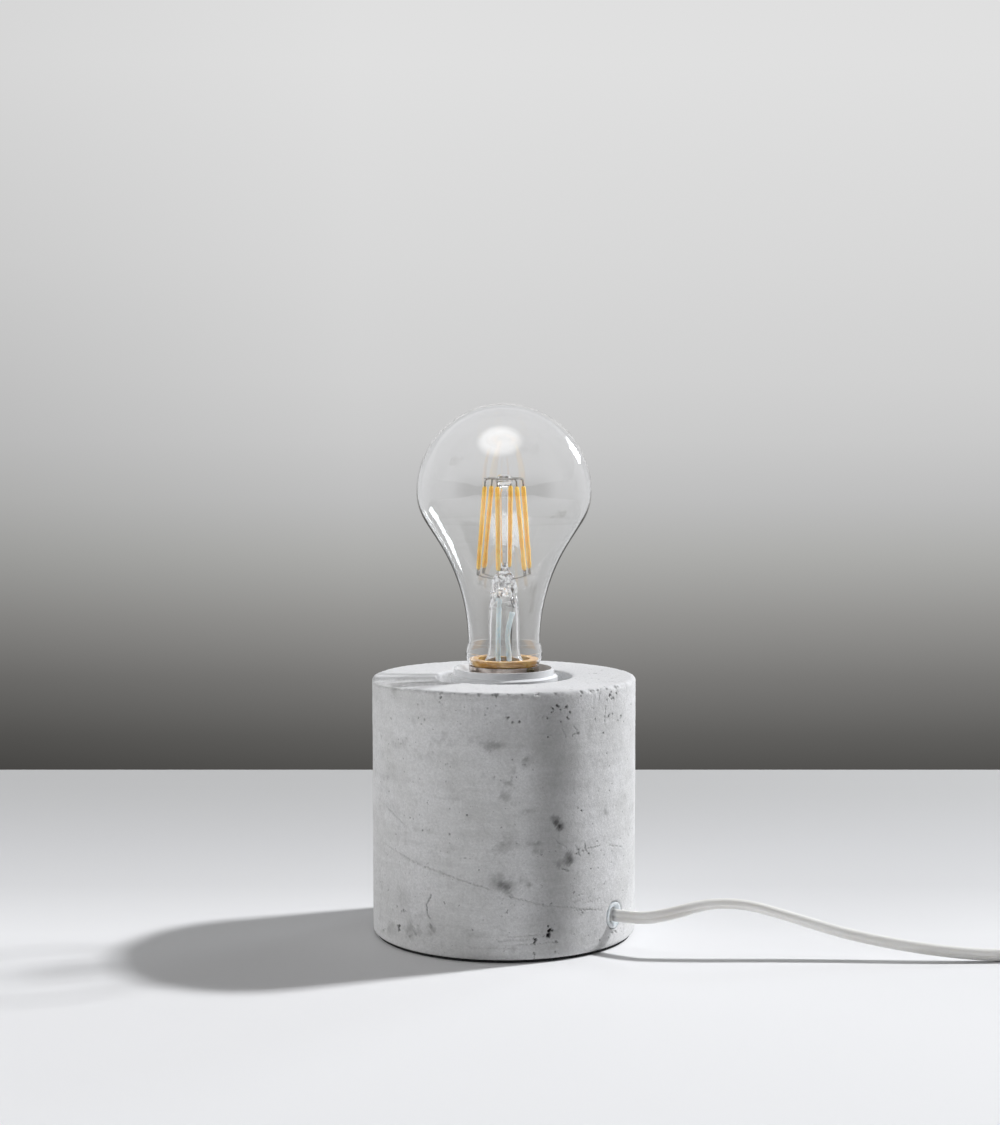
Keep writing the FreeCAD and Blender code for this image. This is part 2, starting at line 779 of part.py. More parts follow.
def filaments():
    """The filaments, the wires that carry them at both ends, and the leads in the stem."""
    strands = []
    upper = []
    lower = []
    for place in range(filament_count):
        turn = 360 * place / filament_count
        low = on_ring(filament_low_ring, filament_low_turn + turn, collar_top + filament_low_rise)
        top = on_ring(filament_top_ring, filament_top_turn + turn, collar_top + filament_top_rise)
        way = (top - low).normalize()
        strands.append(bar(low, top, filament_radius))
        button = on_ring(stem_button_radius + support_radius, filament_top_turn + turn,
                         collar_top + stem_button_rise)
        upper.append(bar(button, top + way * (2 * support_radius), support_radius))
        press = on_ring(stem_press_radius + support_radius, filament_low_turn + turn,
                        collar_top + support_low_rise)
        lower.append(bar(press, low - way * (2 * support_radius), support_radius))
    save("led_filaments", Part.makeCompound(strands))
    save("upper_supports", Part.makeCompound(upper))
    save("lower_supports", Part.makeCompound(lower))
    board_top = shell_low + cap_corner_height + insulator_lap + contact_gap + driver_height
    lead_top = collar_top + stem_bore_top - lead_radius
    leads = [rod(lead_radius, board_top + contact_gap, lead_top, side * lead_spacing / 2)
             for side in (-1, 1)]
    sleeves = [sleeve(sleeve_radius, lead_radius + fit_gap, collar_top - sleeve_foot_depth,
                      collar_top + sleeve_top_rise, side * lead_spacing / 2) for side in (-1, 1)]
    save("lead_wires", Part.makeCompound(leads))
    save("lead_sleeves", Part.makeCompound(sleeves))


def switch_shell(low, high, hollow_low, hollow_high):
    """Half of the switch housing, with rounded upright corners and its hollow."""
    length = switch_length / 2
    width = switch_width / 2
    shell = block(-length, length, -width, width, low, high)
    upright = [edge for edge in shell.Edges if edge.BoundBox.ZLength > (high - low) / 2]
    shell = shell.makeFillet(switch_round, upright)
    wall = switch_wall
    return shell.cut(block(-length + wall, length - wall, -width + wall, width - wall,
                           hollow_low, hollow_high))


def switch_ribs(low, high):
    """Two cross ribs that grip the cord inside the ends of the housing."""
    side = switch_width / 2 - switch_wall
    ribs = []
    for end in (-1, 1):
        middle = end * (switch_length / 2 - switch_rib_inset - switch_rib_width / 2)
        ribs.append(block(middle - switch_rib_width / 2, middle + switch_rib_width / 2,
                          -side, side, low, high))
    return ribs


def switch_cord_hole():
    """The cord's hole through both ends, closer round the cord at the ribs."""
    grip = rod(cord_radius + fit_gap, -switch_length, switch_length)
    mouth = rod(cord_radius + free_gap, -switch_length, -switch_length / 2 + switch_wall)
    other = rod(cord_radius + free_gap, switch_length / 2 - switch_wall, switch_length)
    hole = grip.fuse([mouth, other])
    hole.rotate(Vector(0, 0, 0), Vector(0, 1, 0), 90)
    hole.translate(Vector(0, 0, switch_axis_height))
    return hole


def switch_housing():
    """Base and cover, split at the cord's height, and the two screws that join them."""
    split = switch_axis_height
    roof = switch_height - switch_wall
    base = joined([switch_shell(0, split, switch_wall, split + cut_overrun)]
                  + switch_ribs(switch_wall / 2, split))
    cover = joined([switch_shell(split, switch_height, split - cut_overrun, roof)]
                   + switch_ribs(split, roof + switch_wall / 2))
    screws = []
    for side in (-1, 1):
        x = side * switch_boss_offset
        y = -side * switch_boss_side
        base = base.fuse(rod(switch_boss_radius, switch_wall / 2, split, x, y))
        cover = cover.fuse(rod(switch_boss_radius, split, roof + switch_wall / 2, x, y))
        head_top = switch_head_sink + switch_screw_head_height
        shank_hole = rod(switch_screw_radius + fit_gap, 0, switch_screw_top + fit_gap, x, y)
        head_hole = rod(switch_screw_head + fit_gap, -cut_overrun, head_top + fit_gap, x, y)
        base = base.cut(shank_hole.fuse(head_hole))
        cover = cover.cut(shank_hole)
        screws.append(joined([rod(switch_screw_head, switch_head_sink, head_top, x, y),
                              rod(switch_screw_radius, switch_head_sink, switch_screw_top, x, y)]))
    half_window = rocker_width / 2 + free_gap
    window = block(-rocker_window_half, rocker_window_half, -half_window, half_window,
                   roof - cut_overrun, switch_height + cut_overrun)
    cheek_low = rocker_pivot_height - cheek_depth
    for side in (-1, 1):
        near = side * half_window
        far = side * (half_window + cheek_thickness)
        cover = cover.fuse(block(-cheek_half_length, cheek_half_length, min(near, far),
                                 max(near, far), cheek_low, roof + switch_wall / 2))
    socket = Part.makeCylinder(rocker_pin_radius + contact_gap, switch_width,
                               Vector(0, -switch_width / 2, rocker_pivot_height), Vector(0, 1, 0))
    bore_half = half_window + cheek_thickness
    socket = socket.common(block(-switch_length, switch_length, -bore_half, bore_half, 0,
                                 switch_height))
    cover = cover.cut(window).cut(socket)
    hole = switch_cord_hole()
    save("switch_base", spun(base.cut(hole).removeSplitter(), 0, switch_spot))
    save("switch_cover", spun(cover.cut(hole).removeSplitter(), 0, switch_spot))
    save("switch_screws", spun(Part.makeCompound(screws), 0, switch_spot))


def switch_rocker():
    """Rocker with its two pivot pins, shown pressed down at one end."""
    edge = rocker_half_length
    body = strip([
        (-edge, rocker_edge_height), (-edge + rocker_end_inset, rocker_end_height),
        (0, rocker_dip_height), (edge - rocker_end_inset, rocker_end_height),
        (edge, rocker_edge_height), (rocker_shoulder_half, -rocker_shoulder_depth),
        (rocker_nose_half, -rocker_nose_depth), (-rocker_nose_half, -rocker_nose_depth),
        (-rocker_shoulder_half, -rocker_shoulder_depth)], rocker_width)
    reach = rocker_width / 2 + rocker_pin_length
    pins = Part.makeCylinder(rocker_pin_radius, 2 * reach, Vector(0, -reach, 0), Vector(0, 1, 0))
    rocker = joined([body, pins])
    rocker.rotate(Vector(0, 0, 0), Vector(0, 1, 0), -rocker_swing / 2)
    rocker.translate(Vector(0, 0, rocker_pivot_height))
    return spun(rocker, 0, switch_spot)


def switch_works():
    """Terminal blocks, contact strips, screws and the cores inside the switch."""
    half = switch_block_size / 2
    low = switch_wall
    top = low + switch_block_size
    wire_height = low + half
    strip_top = top + switch_strip_thickness
    drop = 2 * switch_strip_thickness
    y = switch_block_side
    core_end = switch_length / 2 - switch_cord_stop - core_radius
    blocks = []
    screws = []
    strips = []
    wires = []
    for side in (-1, 1):
        x = side * switch_block_offset
        inner = x - side * half
        body = block(x - half, x + half, y - half, y + half, low, top)
        outside = x + side * half
        bore = Part.makeCylinder(core_radius + terminal_bore_gap, terminal_bore_depth,
                                 Vector(outside, y, wire_height), Vector(-side, 0, 0))
        shank_low = wire_height + core_radius + terminal_bore_gap + fit_gap
        hole = rod(terminal_screw_radius + fit_gap, wire_height, strip_top + cut_overrun, x, y)
        blocks.append(body.cut(bore.fuse(hole)))
        screws.append(joined([
            rod(terminal_screw_radius, shank_low, strip_top, x, y),
            rod(terminal_head_radius, strip_top, strip_top + terminal_head_height, x, y)]))
        if side > 0:
            outline = [(-switch_strip_lap, top), (x + half, top), (x + half, strip_top),
                       (-switch_strip_lap, strip_top)]
        else:
            outline = [(x - half, top), (inner, top), (inner + drop, top - drop),
                       (0, top - drop), (0, top - switch_strip_thickness),
                       (inner + drop, top - switch_strip_thickness),
                       (inner + switch_strip_thickness, strip_top), (x - half, strip_top)]
        strips.append(strip(outline, switch_strip_width, y).cut(hole))
        start = Vector(side * core_end, core_spacing / 2, switch_axis_height)
        finish = Vector(outside - side * (terminal_bore_depth - core_radius), y, wire_height)
        turn_in = Vector(outside + side * core_radius, y, wire_height)
        turn_out = Vector((start.x + turn_in.x) / 2, (start.y + turn_in.y) / 2, start.z)
        wires.append(tube("switch core", [start, turn_out, turn_in, finish], core_radius))
    far = switch_block_offset + half
    route = [
        Vector(-core_end, -core_spacing / 2, switch_axis_height),
        Vector(-far, -through_core_side, through_core_height),
        Vector(far, -through_core_side, through_core_height),
        Vector(core_end, -core_spacing / 2, switch_axis_height)]
    wires.append(tube("through core", route, core_radius))
    save("switch_terminals", spun(Part.makeCompound(blocks), 0, switch_spot))
    save("switch_terminal_screws", spun(Part.makeCompound(screws), 0, switch_spot))
    save("switch_contacts", spun(Part.makeCompound(strips), 0, switch_spot))
    save("switch_wires", spun(Part.makeCompound(wires), 0, switch_spot))


def plug():
    """Two-pin plug that lies flat, drawn with its cord entry at the origin and its pins along -Y."""
    middle = plug_thickness / 2
    nose = -plug_sleeve_length - plug_body_length
    tail = -plug_sleeve_length
    waist = tail - plug_tail_length
    shoulder = nose + plug_front_length
    outline = [(-plug_half_width, nose), (plug_half_width, nose), (plug_half_width, shoulder),
               (plug_waist_half_width, waist), (plug_tail_half_width, tail),
               (-plug_tail_half_width, tail), (-plug_waist_half_width, waist),
               (-plug_half_width, shoulder)]
    body = slab(outline, 0, plug_thickness)
    flat_edges = [edge for edge in body.Edges if edge.BoundBox.ZLength < fit_gap]
    body = body.makeFillet(plug_round, flat_edges)
    way = Vector(0, 1, 0)
    socket = Part.makeCylinder(cord_radius + fit_gap, plug_cord_depth + cut_overrun,
                               Vector(0, tail - plug_cord_depth, middle), way)
    body = body.cut(socket)
    cone = Part.makeCone(plug_sleeve_radius, plug_sleeve_end_radius, plug_sleeve_length,
                         Vector(0, tail, middle), way)
    bore = Part.makeCylinder(cord_radius + fit_gap, plug_sleeve_length + 2 * cut_overrun,
                             Vector(0, tail - cut_overrun, middle), way)
    pins = []
    pin_sleeves = []
    for side in (-1, 1):
        x = side * plug_pin_spacing / 2
        base = Vector(x, nose, middle)
        tip = Vector(x, nose - plug_pin_length, middle)
        bare = Vector(x, nose - plug_pin_sleeve_length, middle)
        outer = bar(base, bare, plug_pin_radius)
        core = bar(base, bare, plug_pin_core_radius)
        pin_sleeves.append(outer.cut(core))
        end = bar(bare, tip, plug_pin_radius)
        round_edges = [edge for edge in end.Edges if edge.BoundBox.YMax < tip.y + fit_gap]
        end = end.makeFillet(plug_pin_radius / 2, round_edges)
        pins.append(joined([core, end]))
    save("plug_body", spun(body, plug_turn, plug_spot))
    save("plug_sleeve", spun(cone.cut(bore), plug_turn, plug_spot))
    save("plug_pins", spun(Part.makeCompound(pins), plug_turn, plug_spot))
    save("plug_pin_sleeves", spun(Part.makeCompound(pin_sleeves), plug_turn, plug_spot))


def coil_spot(turns):
    """Centre of the coiled cord after a number of turns from its start."""
    fold = turns / coil_layer_turns
    layer = min(max(math.floor(fold), 0), coil_layers - 1)
    share = fold - layer
    inward = share if layer % 2 == 0 else 1 - share
    radius = coil_radius - coil_pitch * coil_layer_turns * inward
    height = cord_radius + coil_lift
    for reversal in range(1, coil_layers):
        climb = (turns - reversal * coil_layer_turns) * 2 + 1 / 2
        climb = min(max(climb, 0), 1)
        height += coil_pitch * (1 - math.cos(math.pi * climb)) / 2
    return coil_centre + on_ring(radius, 360 * turns, height)


def coil_way(turns):
    """Direction of the coiled cord, square to its radius at both ends."""
    if turns in (0, coil_turns):
        return on_ring(1, 360 * turns + 90, 0)
    step = 1 / coil_gap_samples
    return (coil_spot(turns + step) - coil_spot(turns - step)).normalize()


def biarc(start, start_way, end, end_way):
    """Two tangent arcs between two points with given directions."""
    chord = end - start
    square = 2 * (1 - start_way.dot(end_way))
    linear = 2 * chord.dot(start_way + end_way)
    leg = (-linear + math.sqrt(linear ** 2 + 4 * square * chord.dot(chord))) / (2 * square)
    first = start + start_way * leg
    last = end - end_way * leg
    middle = (first + last) / 2
    return [arc_at(first, start, middle)[0], arc_at(last, middle, end)[0]]


def coil_path():
    """Quarter-turn biarcs with a straight run of one cord diameter at each end."""
    run = 2 * cord_radius
    start = coil_spot(0) - coil_way(0) * run
    end = coil_spot(coil_turns) + coil_way(coil_turns) * run
    edges = [Part.LineSegment(start, coil_spot(0)).toShape()]
    for quarter in range(round(4 * coil_turns)):
        here = quarter / 4
        there = (quarter + 1) / 4
        edges += biarc(coil_spot(here), coil_way(here), coil_spot(there), coil_way(there))
    edges.append(Part.LineSegment(coil_spot(coil_turns), end).toShape())
    return Part.Wire(edges), start, end


def least_gap(path, radius):
    """Least gap of a coiled tube to itself, between points over half a turn apart."""
    spots = path.discretize(Number=coil_gap_samples)
    skip = round(coil_gap_samples / coil_turns / 2)
    least = min((spots[a] - spots[b]).Length for a in range(len(spots))
                for b in range(a + skip, len(spots)))
    return least - 2 * radius


def cord_coil():
    """The put-away length, and the points where it starts and ends."""
    path, start, end = coil_path()
    shape = swept(path, start, coil_way(0), cord_radius)
    expected = math.pi * cord_radius ** 2 * path.Length
    print("cord_coil length", round(path.Length, 1), "least gap",
          round(least_gap(path, cord_radius), 2), "volume ratio",
          round(shape.Volume / expected, 4))
    save("cord_coil", shape)
    return start, end


def coil_tie():
    """Flat band round all the turns at one place."""
    spots = [coil_spot(turn + tie_turn) - coil_centre for turn in range(int(coil_turns))]
    reaches = [math.hypot(spot.x, spot.y) for spot in spots]
    heights = [spot.z for spot in spots]
    gap = cord_radius + tie_gap

    def band(grow):
        low = min(heights) - gap - grow
        high = max(heights) + gap + grow
        return block(min(reaches) - gap - grow, max(reaches) + gap + grow,
                     -tie_width / 2, tie_width / 2, low, high)

    ring = band(tie_thickness).cut(strip([
        (min(reaches) - gap, min(heights) - gap), (max(reaches) + gap, min(heights) - gap),
        (max(reaches) + gap, max(heights) + gap), (min(reaches) - gap, max(heights) + gap)],
        2 * tie_width))
    return spun(ring, 360 * tie_turn, coil_centre)


def free_cord():
    """The free stretches: lamp to switch, switch to coil, the coil, and coil to plug."""
    exit_spot = cord_way * exit_reach + Vector(0, 0, cord_height)
    to_switch = [
        exit_spot,
        exit_spot + cord_way * exit_run,
        Vector(60.5, -38.6, 15.3),
        Vector(74.0, -38.0, 19.2),
        Vector(88.0, -38.6, 19.2),
        Vector(104.0, -40.0, 14.8),
        Vector(126.0, -43.0, 8.5),
        Vector(152.0, -46.2, 4.6),
        Vector(174.0, -47.0, 2.9),
        Vector(190.0, -45.5, 3.0),
        Vector(203.5, -42.0, 7.5),
        Vector(214.5, -42.0, 7.5)]
    to_coil = [
        Vector(259.5, -42.0, 7.5),
        Vector(270.5, -42.0, 7.5),
        Vector(284.5, -42.0, 5.2),
        Vector(301.0, -32.0, 3.7),
        Vector(311.0, -15.0, 3.7)]
    coil_start, coil_end = cord_coil()
    to_coil.append(coil_start)
    plug_inside = plug_spot + on_ring(plug_sleeve_length + plug_cord_depth, plug_turn - 90,
                                      plug_thickness / 2)
    to_plug = [
        coil_end,
        Vector(311.0, 30.8, 19.9),
        Vector(302.8, 42.1, 22.0),
        Vector(289.5, 46.7, 24.5),
        Vector(276.1, 42.1, 27.0),
        Vector(267.9, 30.8, 29.2),
        plug_inside]
    save("cord_lamp_side", tube("cord_lamp_side", to_switch, cord_radius))
    save("cord_to_coil", tube("cord_to_coil", to_coil, cord_radius))
    save("cord_plug_side", tube("cord_plug_side", to_plug, cord_radius))
    save("coil_tie", coil_tie())


save("concrete_body", concrete_body())
save("base_pad", base_pad())
save("cable_bush", cable_bush())
anchorage()
inner_cable()
holder_fixings()
save("holder_dome", holder_dome())
save("holder_insert", holder_insert())
holder_contacts()
holder_terminals()
save("holder_skirt", holder_skirt())
save("cap_shell", cap_shell())
cap_bottom()
driver()
save("cap_cement", cement_ring())
save("glass_envelope", glass_envelope())
save("glass_stem", glass_stem())
filaments()
switch_housing()
save("switch_rocker", switch_rocker())
switch_works()
free_cord()
plug()
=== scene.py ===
import math

import bmesh
import bpy
import numpy as np
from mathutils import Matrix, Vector, noise


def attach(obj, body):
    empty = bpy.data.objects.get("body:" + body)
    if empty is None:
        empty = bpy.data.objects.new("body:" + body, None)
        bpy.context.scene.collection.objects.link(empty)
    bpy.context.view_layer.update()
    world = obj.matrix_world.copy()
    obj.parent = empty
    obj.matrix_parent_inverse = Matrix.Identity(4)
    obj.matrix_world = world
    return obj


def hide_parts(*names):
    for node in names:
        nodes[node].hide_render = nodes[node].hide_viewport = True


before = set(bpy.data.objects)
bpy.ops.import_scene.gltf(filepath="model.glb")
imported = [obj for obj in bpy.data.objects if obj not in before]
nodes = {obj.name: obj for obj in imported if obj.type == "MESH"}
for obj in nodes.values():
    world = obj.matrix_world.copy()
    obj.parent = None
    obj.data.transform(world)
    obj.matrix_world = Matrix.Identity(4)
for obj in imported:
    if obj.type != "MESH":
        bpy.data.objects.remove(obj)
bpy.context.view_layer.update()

MM = 0.001
# Camera in pixels, millimetres and radians
PHOTO_WIDTH, PHOTO_HEIGHT = 1000, 1125
FOCAL = 2013.67
CAMERA = Vector((-1.522, -761.24, 195.41))
PITCH = math.radians(4.085)
# Sizes of the lamp in millimetres
BODY_RADIUS = 50.0
BODY_TOP = 98.0
COLLAR_TOP = 102.0
HOLE_TURN = math.radians(-35)
HOLE_HEIGHT = 12.5


# helpers
def rgb(red, green, blue):
    """A colour written in 0 to 255, as the linear colour that shaders take."""
    def linear(value):
        value = value / 255
        return value / 12.92 if value <= 0.04045 else ((value + 0.055) / 1.055) ** 2.4
    return (linear(red), linear(green), linear(blue), 1.0)


def around(radius, turn, height):
    """The point at a radius, an angle and a height about the upright axis."""
    return Vector((radius * math.cos(turn), radius * math.sin(turn), height))


def shade_smooth(mesh):
    mesh.polygons.foreach_set("use_smooth", [True] * len(mesh.polygons))


def new_object(name, mesh, smooth=True):
    piece = bpy.data.objects.new(name, mesh)
    bpy.context.collection.objects.link(piece)
    if smooth:
        shade_smooth(mesh)
    return piece


def mesh_piece(name, points, faces, smooth=True):
    """A piece from points in millimetres."""
    mesh = bpy.data.meshes.new(name)
    mesh.from_pydata([tuple(Vector(p) * MM) for p in points], [], faces)
    mesh.update()
    return new_object(name, mesh, smooth)


def finish_piece(piece, body, paint, slot, *replaced):
    """Paint a piece, tie it to its body and hide the CAD nodes that it stands for; the slot argument is not
    used.
    """
    piece.data.materials.clear()
    piece.data.materials.append(paint)
    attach(piece, body)
    if replaced:
        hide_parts(*replaced)


def lathe(name, outline, steps, wobble, closed=False):
    """A turned piece from (radius, height) corners; wobble changes a radius by its angle and height."""
    points, faces = [], []
    count = len(outline)
    for step in range(steps):
        turn = 2 * math.pi * step / steps
        for radius, height in outline:
            reach = radius + (wobble(turn, radius, height) if radius > 0 else 0)
            points.append(around(reach, turn, height))
    rows = count if closed else count - 1
    for step in range(steps):
        here, there = step * count, ((step + 1) % steps) * count
        for row in range(rows):
            after = (row + 1) % count
            faces.append((here + row, there + row, there + after, here + after))
    piece = mesh_piece(name, points, faces)
    build = bmesh.new()
    build.from_mesh(piece.data)
    bmesh.ops.remove_doubles(build, verts=build.verts, dist=1e-6)
    bmesh.ops.recalc_face_normals(build, faces=build.faces)
    build.to_mesh(piece.data)
    build.free()
    shade_smooth(piece.data)
    return piece


def smooth_line(outline):
    """Two rounds of corner cutting, which smooth an open outline."""
    for _ in range(2):
        cut = [outline[0]]
        for a, b in zip(outline, outline[1:]):
            cut.append(tuple(0.75 * p + 0.25 * q for p, q in zip(a, b)))
            cut.append(tuple(0.25 * p + 0.75 * q for p, q in zip(a, b)))
        cut.append(outline[-1])
        outline = cut
    return outline


def spline_points(route, resolution=10):
    """Points along the smooth NURBS line of a route, in millimetres."""
    curve = bpy.data.curves.new("route", "CURVE")
    curve.dimensions = "3D"
    spline = curve.splines.new("NURBS")
    spline.points.add(len(route) - 1)
    for point, place in zip(spline.points, route):
        point.co = (*(Vector(place) * MM), 1)
    spline.order_u = 3
    spline.use_endpoint_u = True
    spline.resolution_u = resolution
    holder = bpy.data.objects.new("route", curve)
    bpy.context.collection.objects.link(holder)
    mesh = bpy.data.meshes.new_from_object(holder)
    points = [v.co.copy() / MM for v in mesh.vertices]
    bpy.data.objects.remove(holder)
    bpy.data.meshes.remove(mesh)
    kept = [points[0]]
    for point in points[1:]:
        if (point - kept[-1]).length > 0.05:
            kept.append(point)
    return kept


def sweep(name, points, outline, lean=None, grow=None, caps=True):
    """Draw a closed outline along points; lean (degrees) and grow turn and size it by the distance run."""
    count = len(outline)
    verts, faces = [], []
    run = 0.0
    for index, place in enumerate(points):
        before = points[max(index - 1, 0)]
        after = points[min(index + 1, len(points) - 1)]
        way = (after - before).normalized()
        if index:
            run += (place - points[index - 1]).length
        across = way.cross(Vector((0, 0, 1)))
        if across.length < 1e-3:
            across = Vector((1, 0, 0))
        across.normalize()
        up = across.cross(way).normalized()
        turn = math.radians(lean(run)) if lean else 0.0
        size = grow(run) if grow else 1.0
        wide = across * math.cos(turn) + up * math.sin(turn)
        thin = up * math.cos(turn) - across * math.sin(turn)
        for u, v in outline:
            verts.append(place + wide * (u * size) + thin * (v * size))
    for index in range(len(points) - 1):
        here, there = index * count, (index + 1) * count
        for k in range(count):
            j = (k + 1) % count
            faces.append((here + k, here + j, there + j, there + k))
    if caps:
        faces.append(tuple(range(count - 1, -1, -1)))
        last = (len(points) - 1) * count
        faces.append(tuple(last + k for k in range(count)))
    return mesh_piece(name, verts, faces)


def ring_outline(radius, count):
    return [(radius * math.cos(2 * math.pi * k / count), radius * math.sin(2 * math.pi * k / count))
            for k in range(count)]


def between(run, table):
    """Smooth steps between (distance, value) pairs."""
    if run <= table[0][0]:
        return table[0][1]
    for (a, u), (b, v) in zip(table, table[1:]):
        if run <= b:
            t = (run - a) / (b - a)
            t = t * t * (3 - 2 * t)
            return u + (v - u) * t
    return table[-1][1]


def join_pieces(name, pieces):
    """One piece out of several meshes."""
    bpy.ops.object.select_all(action="DESELECT")
    for piece in pieces:
        piece.select_set(True)
    bpy.context.view_layer.objects.active = pieces[0]
    bpy.ops.object.join()
    pieces[0].name = name
    pieces[0].data.name = name
    return pieces[0]


# materials
class Nodes:
    """Short calls to build one tree of shader nodes."""

    def __init__(self, tree, place, output):
        self.tree = tree
        self.place = tree.nodes.new("ShaderNodeTexCoord").outputs[place]
        self.surface = tree.nodes[output].inputs["Surface"]

    def plug(self, target, value):
        if isinstance(value, bpy.types.NodeSocket):
            self.tree.links.new(value, target)
        else:
            target.default_value = value

    def node(self, kind, inputs=None, **fields):
        made = self.tree.nodes.new(kind)
        for key, value in fields.items():
            setattr(made, key, value)
        for key, value in (inputs or {}).items():
            self.plug(made.inputs[key], value)
        return made

    def stretched(self, x, y, z):
        return self.node("ShaderNodeMapping", {"Vector": self.place, "Scale": (x, y, z)}).outputs[0]

    def noise(self, size, detail=4.0, rough=0.55, place=None):
        """Noise whose features are about size millimetres across."""
        return self.node("ShaderNodeTexNoise", {
            "Vector": place or self.place, "Scale": 1000 / size, "Detail": detail,
            "Roughness": rough}).outputs["Fac"]

    def cells(self, size):
        return self.node("ShaderNodeTexVoronoi", {
            "Vector": self.place, "Scale": 1000 / size}).outputs["Distance"]

    def ramp(self, value, *stops):
        """Stops as (place, colour), the colour in 0 to 255 or, with four values, linear."""
        made = self.node("ShaderNodeValToRGB", {"Fac": value})
        ramp = made.color_ramp
        while len(ramp.elements) < len(stops):
            ramp.elements.new(0.5)
        for element, (place, colour) in zip(ramp.elements, stops):
            element.position = place
            element.color = colour if len(colour) == 4 else rgb(*colour)
        return made.outputs["Color"]

    def steps(self, value, low, high, a=0.0, b=1.0, kind="SMOOTHSTEP"):
        """A climb from a to b as value goes from low to high."""
        return self.node("ShaderNodeMapRange", {
            "Value": value, "From Min": low, "From Max": high, "To Min": a, "To Max": b},
            interpolation_type=kind).outputs["Result"]

    def math(self, operation, a, b):
        return self.node("ShaderNodeMath", {0: a, 1: b}, operation=operation).outputs[0]

    def mix(self, factor, a, b):
        return self.node("ShaderNodeMix", {0: factor, 6: a, 7: b}, data_type="RGBA").outputs[2]

    def axis(self, which):
        return self.node("ShaderNodeSeparateXYZ", {"Vector": self.place}).outputs[which]

    def show(self, factor, a, b):
        """Mix two shaders into the surface."""
        both = self.node("ShaderNodeMixShader", {0: factor, 1: a.outputs[0], 2: b.outputs[0]})
        self.plug(self.surface, both.outputs[0])

    def show_seen(self, unseen, seen):
        """One shader for what the camera, metal and glass see, and another for the light on the object."""
        rays = self.node("ShaderNodeLightPath").outputs
        mirrored = self.math("MAXIMUM", rays["Is Glossy Ray"], rays["Is Transmission Ray"])
        self.show(self.math("MAXIMUM", rays["Is Camera Ray"], mirrored), unseen, seen)


class Paint(Nodes):
    """Short calls to build one procedural material."""

    def __init__(self, name, **fixed):
        self.material = bpy.data.materials.new(name)
        self.material.use_nodes = True
        super().__init__(self.material.node_tree, "Object", "Material Output")
        self.shader = self.tree.nodes["Principled BSDF"]
        for key, value in fixed.items():
            self.set(key.replace("_", " "), value)

    def set(self, name, value):
        self.plug(self.shader.inputs[name], value)

    def tones(self, value, low, high):
        """A base colour between two tones."""
        self.set("Base Color", self.ramp(value, (0.3, low), (0.7, high)))

    def roughen(self, value, low, high):
        self.set("Roughness", self.steps(value, 0.3, 0.7, low, high))

    def bump(self, height, depth):
        """Relief of a depth in millimetres, over the relief that is there."""
        made = self.node("ShaderNodeBump", {"Height": height, "Distance": depth * MM, "Strength": 1.0})
        before = self.shader.inputs["Normal"].links
        if before:
            self.plug(made.inputs["Normal"], before[0].from_socket)
        self.set("Normal", made.outputs[0])

    def through_lamps(self, share):
        """Let a share of the lamps' light through, as thin glass does, and half of it at the edges."""
        facing = self.node("ShaderNodeLayerWeight", {"Blend": 0.5}).outputs["Facing"]
        tint = self.ramp(facing, (0.55, (share, share, share, 1)), (1, (share / 2, share / 2, share / 2, 1)))
        clear = self.node("ShaderNodeBsdfTransparent", {"Color": tint})
        rays = self.node("ShaderNodeLightPath").outputs
        self.show(rays["Is Shadow Ray"], self.shader, clear)


def darker(colour, share):
    return tuple(c * share for c in colour[:3]) + (1,)


def plastic(name, colour, dark, roughness, grain=0.02):
    """Moulded plastic: faint unevenness of colour, fine grain and uneven gloss."""
    paint = Paint(name, IOR=1.49)
    paint.tones(paint.noise(14, 3), darker(colour, dark), colour)
    paint.roughen(paint.noise(3, 3), roughness * 0.85, roughness * 1.2)
    paint.bump(paint.noise(0.5, 3), grain)
    return paint.material


def metal(name, colour, roughness, brushed=(1, 1, 12), wear=0.85):
    """Metal with fine drawn lines, dull patches and slight tarnish."""
    paint = Paint(name, Metallic=1.0)
    lines = paint.noise(2.2, 5, 0.6, paint.stretched(*brushed))
    patch = paint.noise(5, 4)
    paint.tones(patch, darker(colour, wear), colour)
    paint.set("Roughness", paint.steps(paint.math("ADD", lines, patch), 0.7, 1.3,
                                       roughness * 0.6, roughness * 1.5))
    paint.bump(lines, 0.01)
    return paint.material


def glass(name, ior, share, ripple, size=9, coat=0.0):
    """Clear glass with a faint ripple; the coat strengthens what it mirrors."""
    paint = Paint(name, Base_Color=(1, 1, 1, 1), Roughness=0.0, IOR=ior, Transmission_Weight=1.0,
                  Coat_Weight=coat, Coat_Roughness=0.02, Coat_IOR=1.5)
    paint.bump(paint.noise(size, 2), ripple)
    paint.through_lamps(share)
    return paint.material


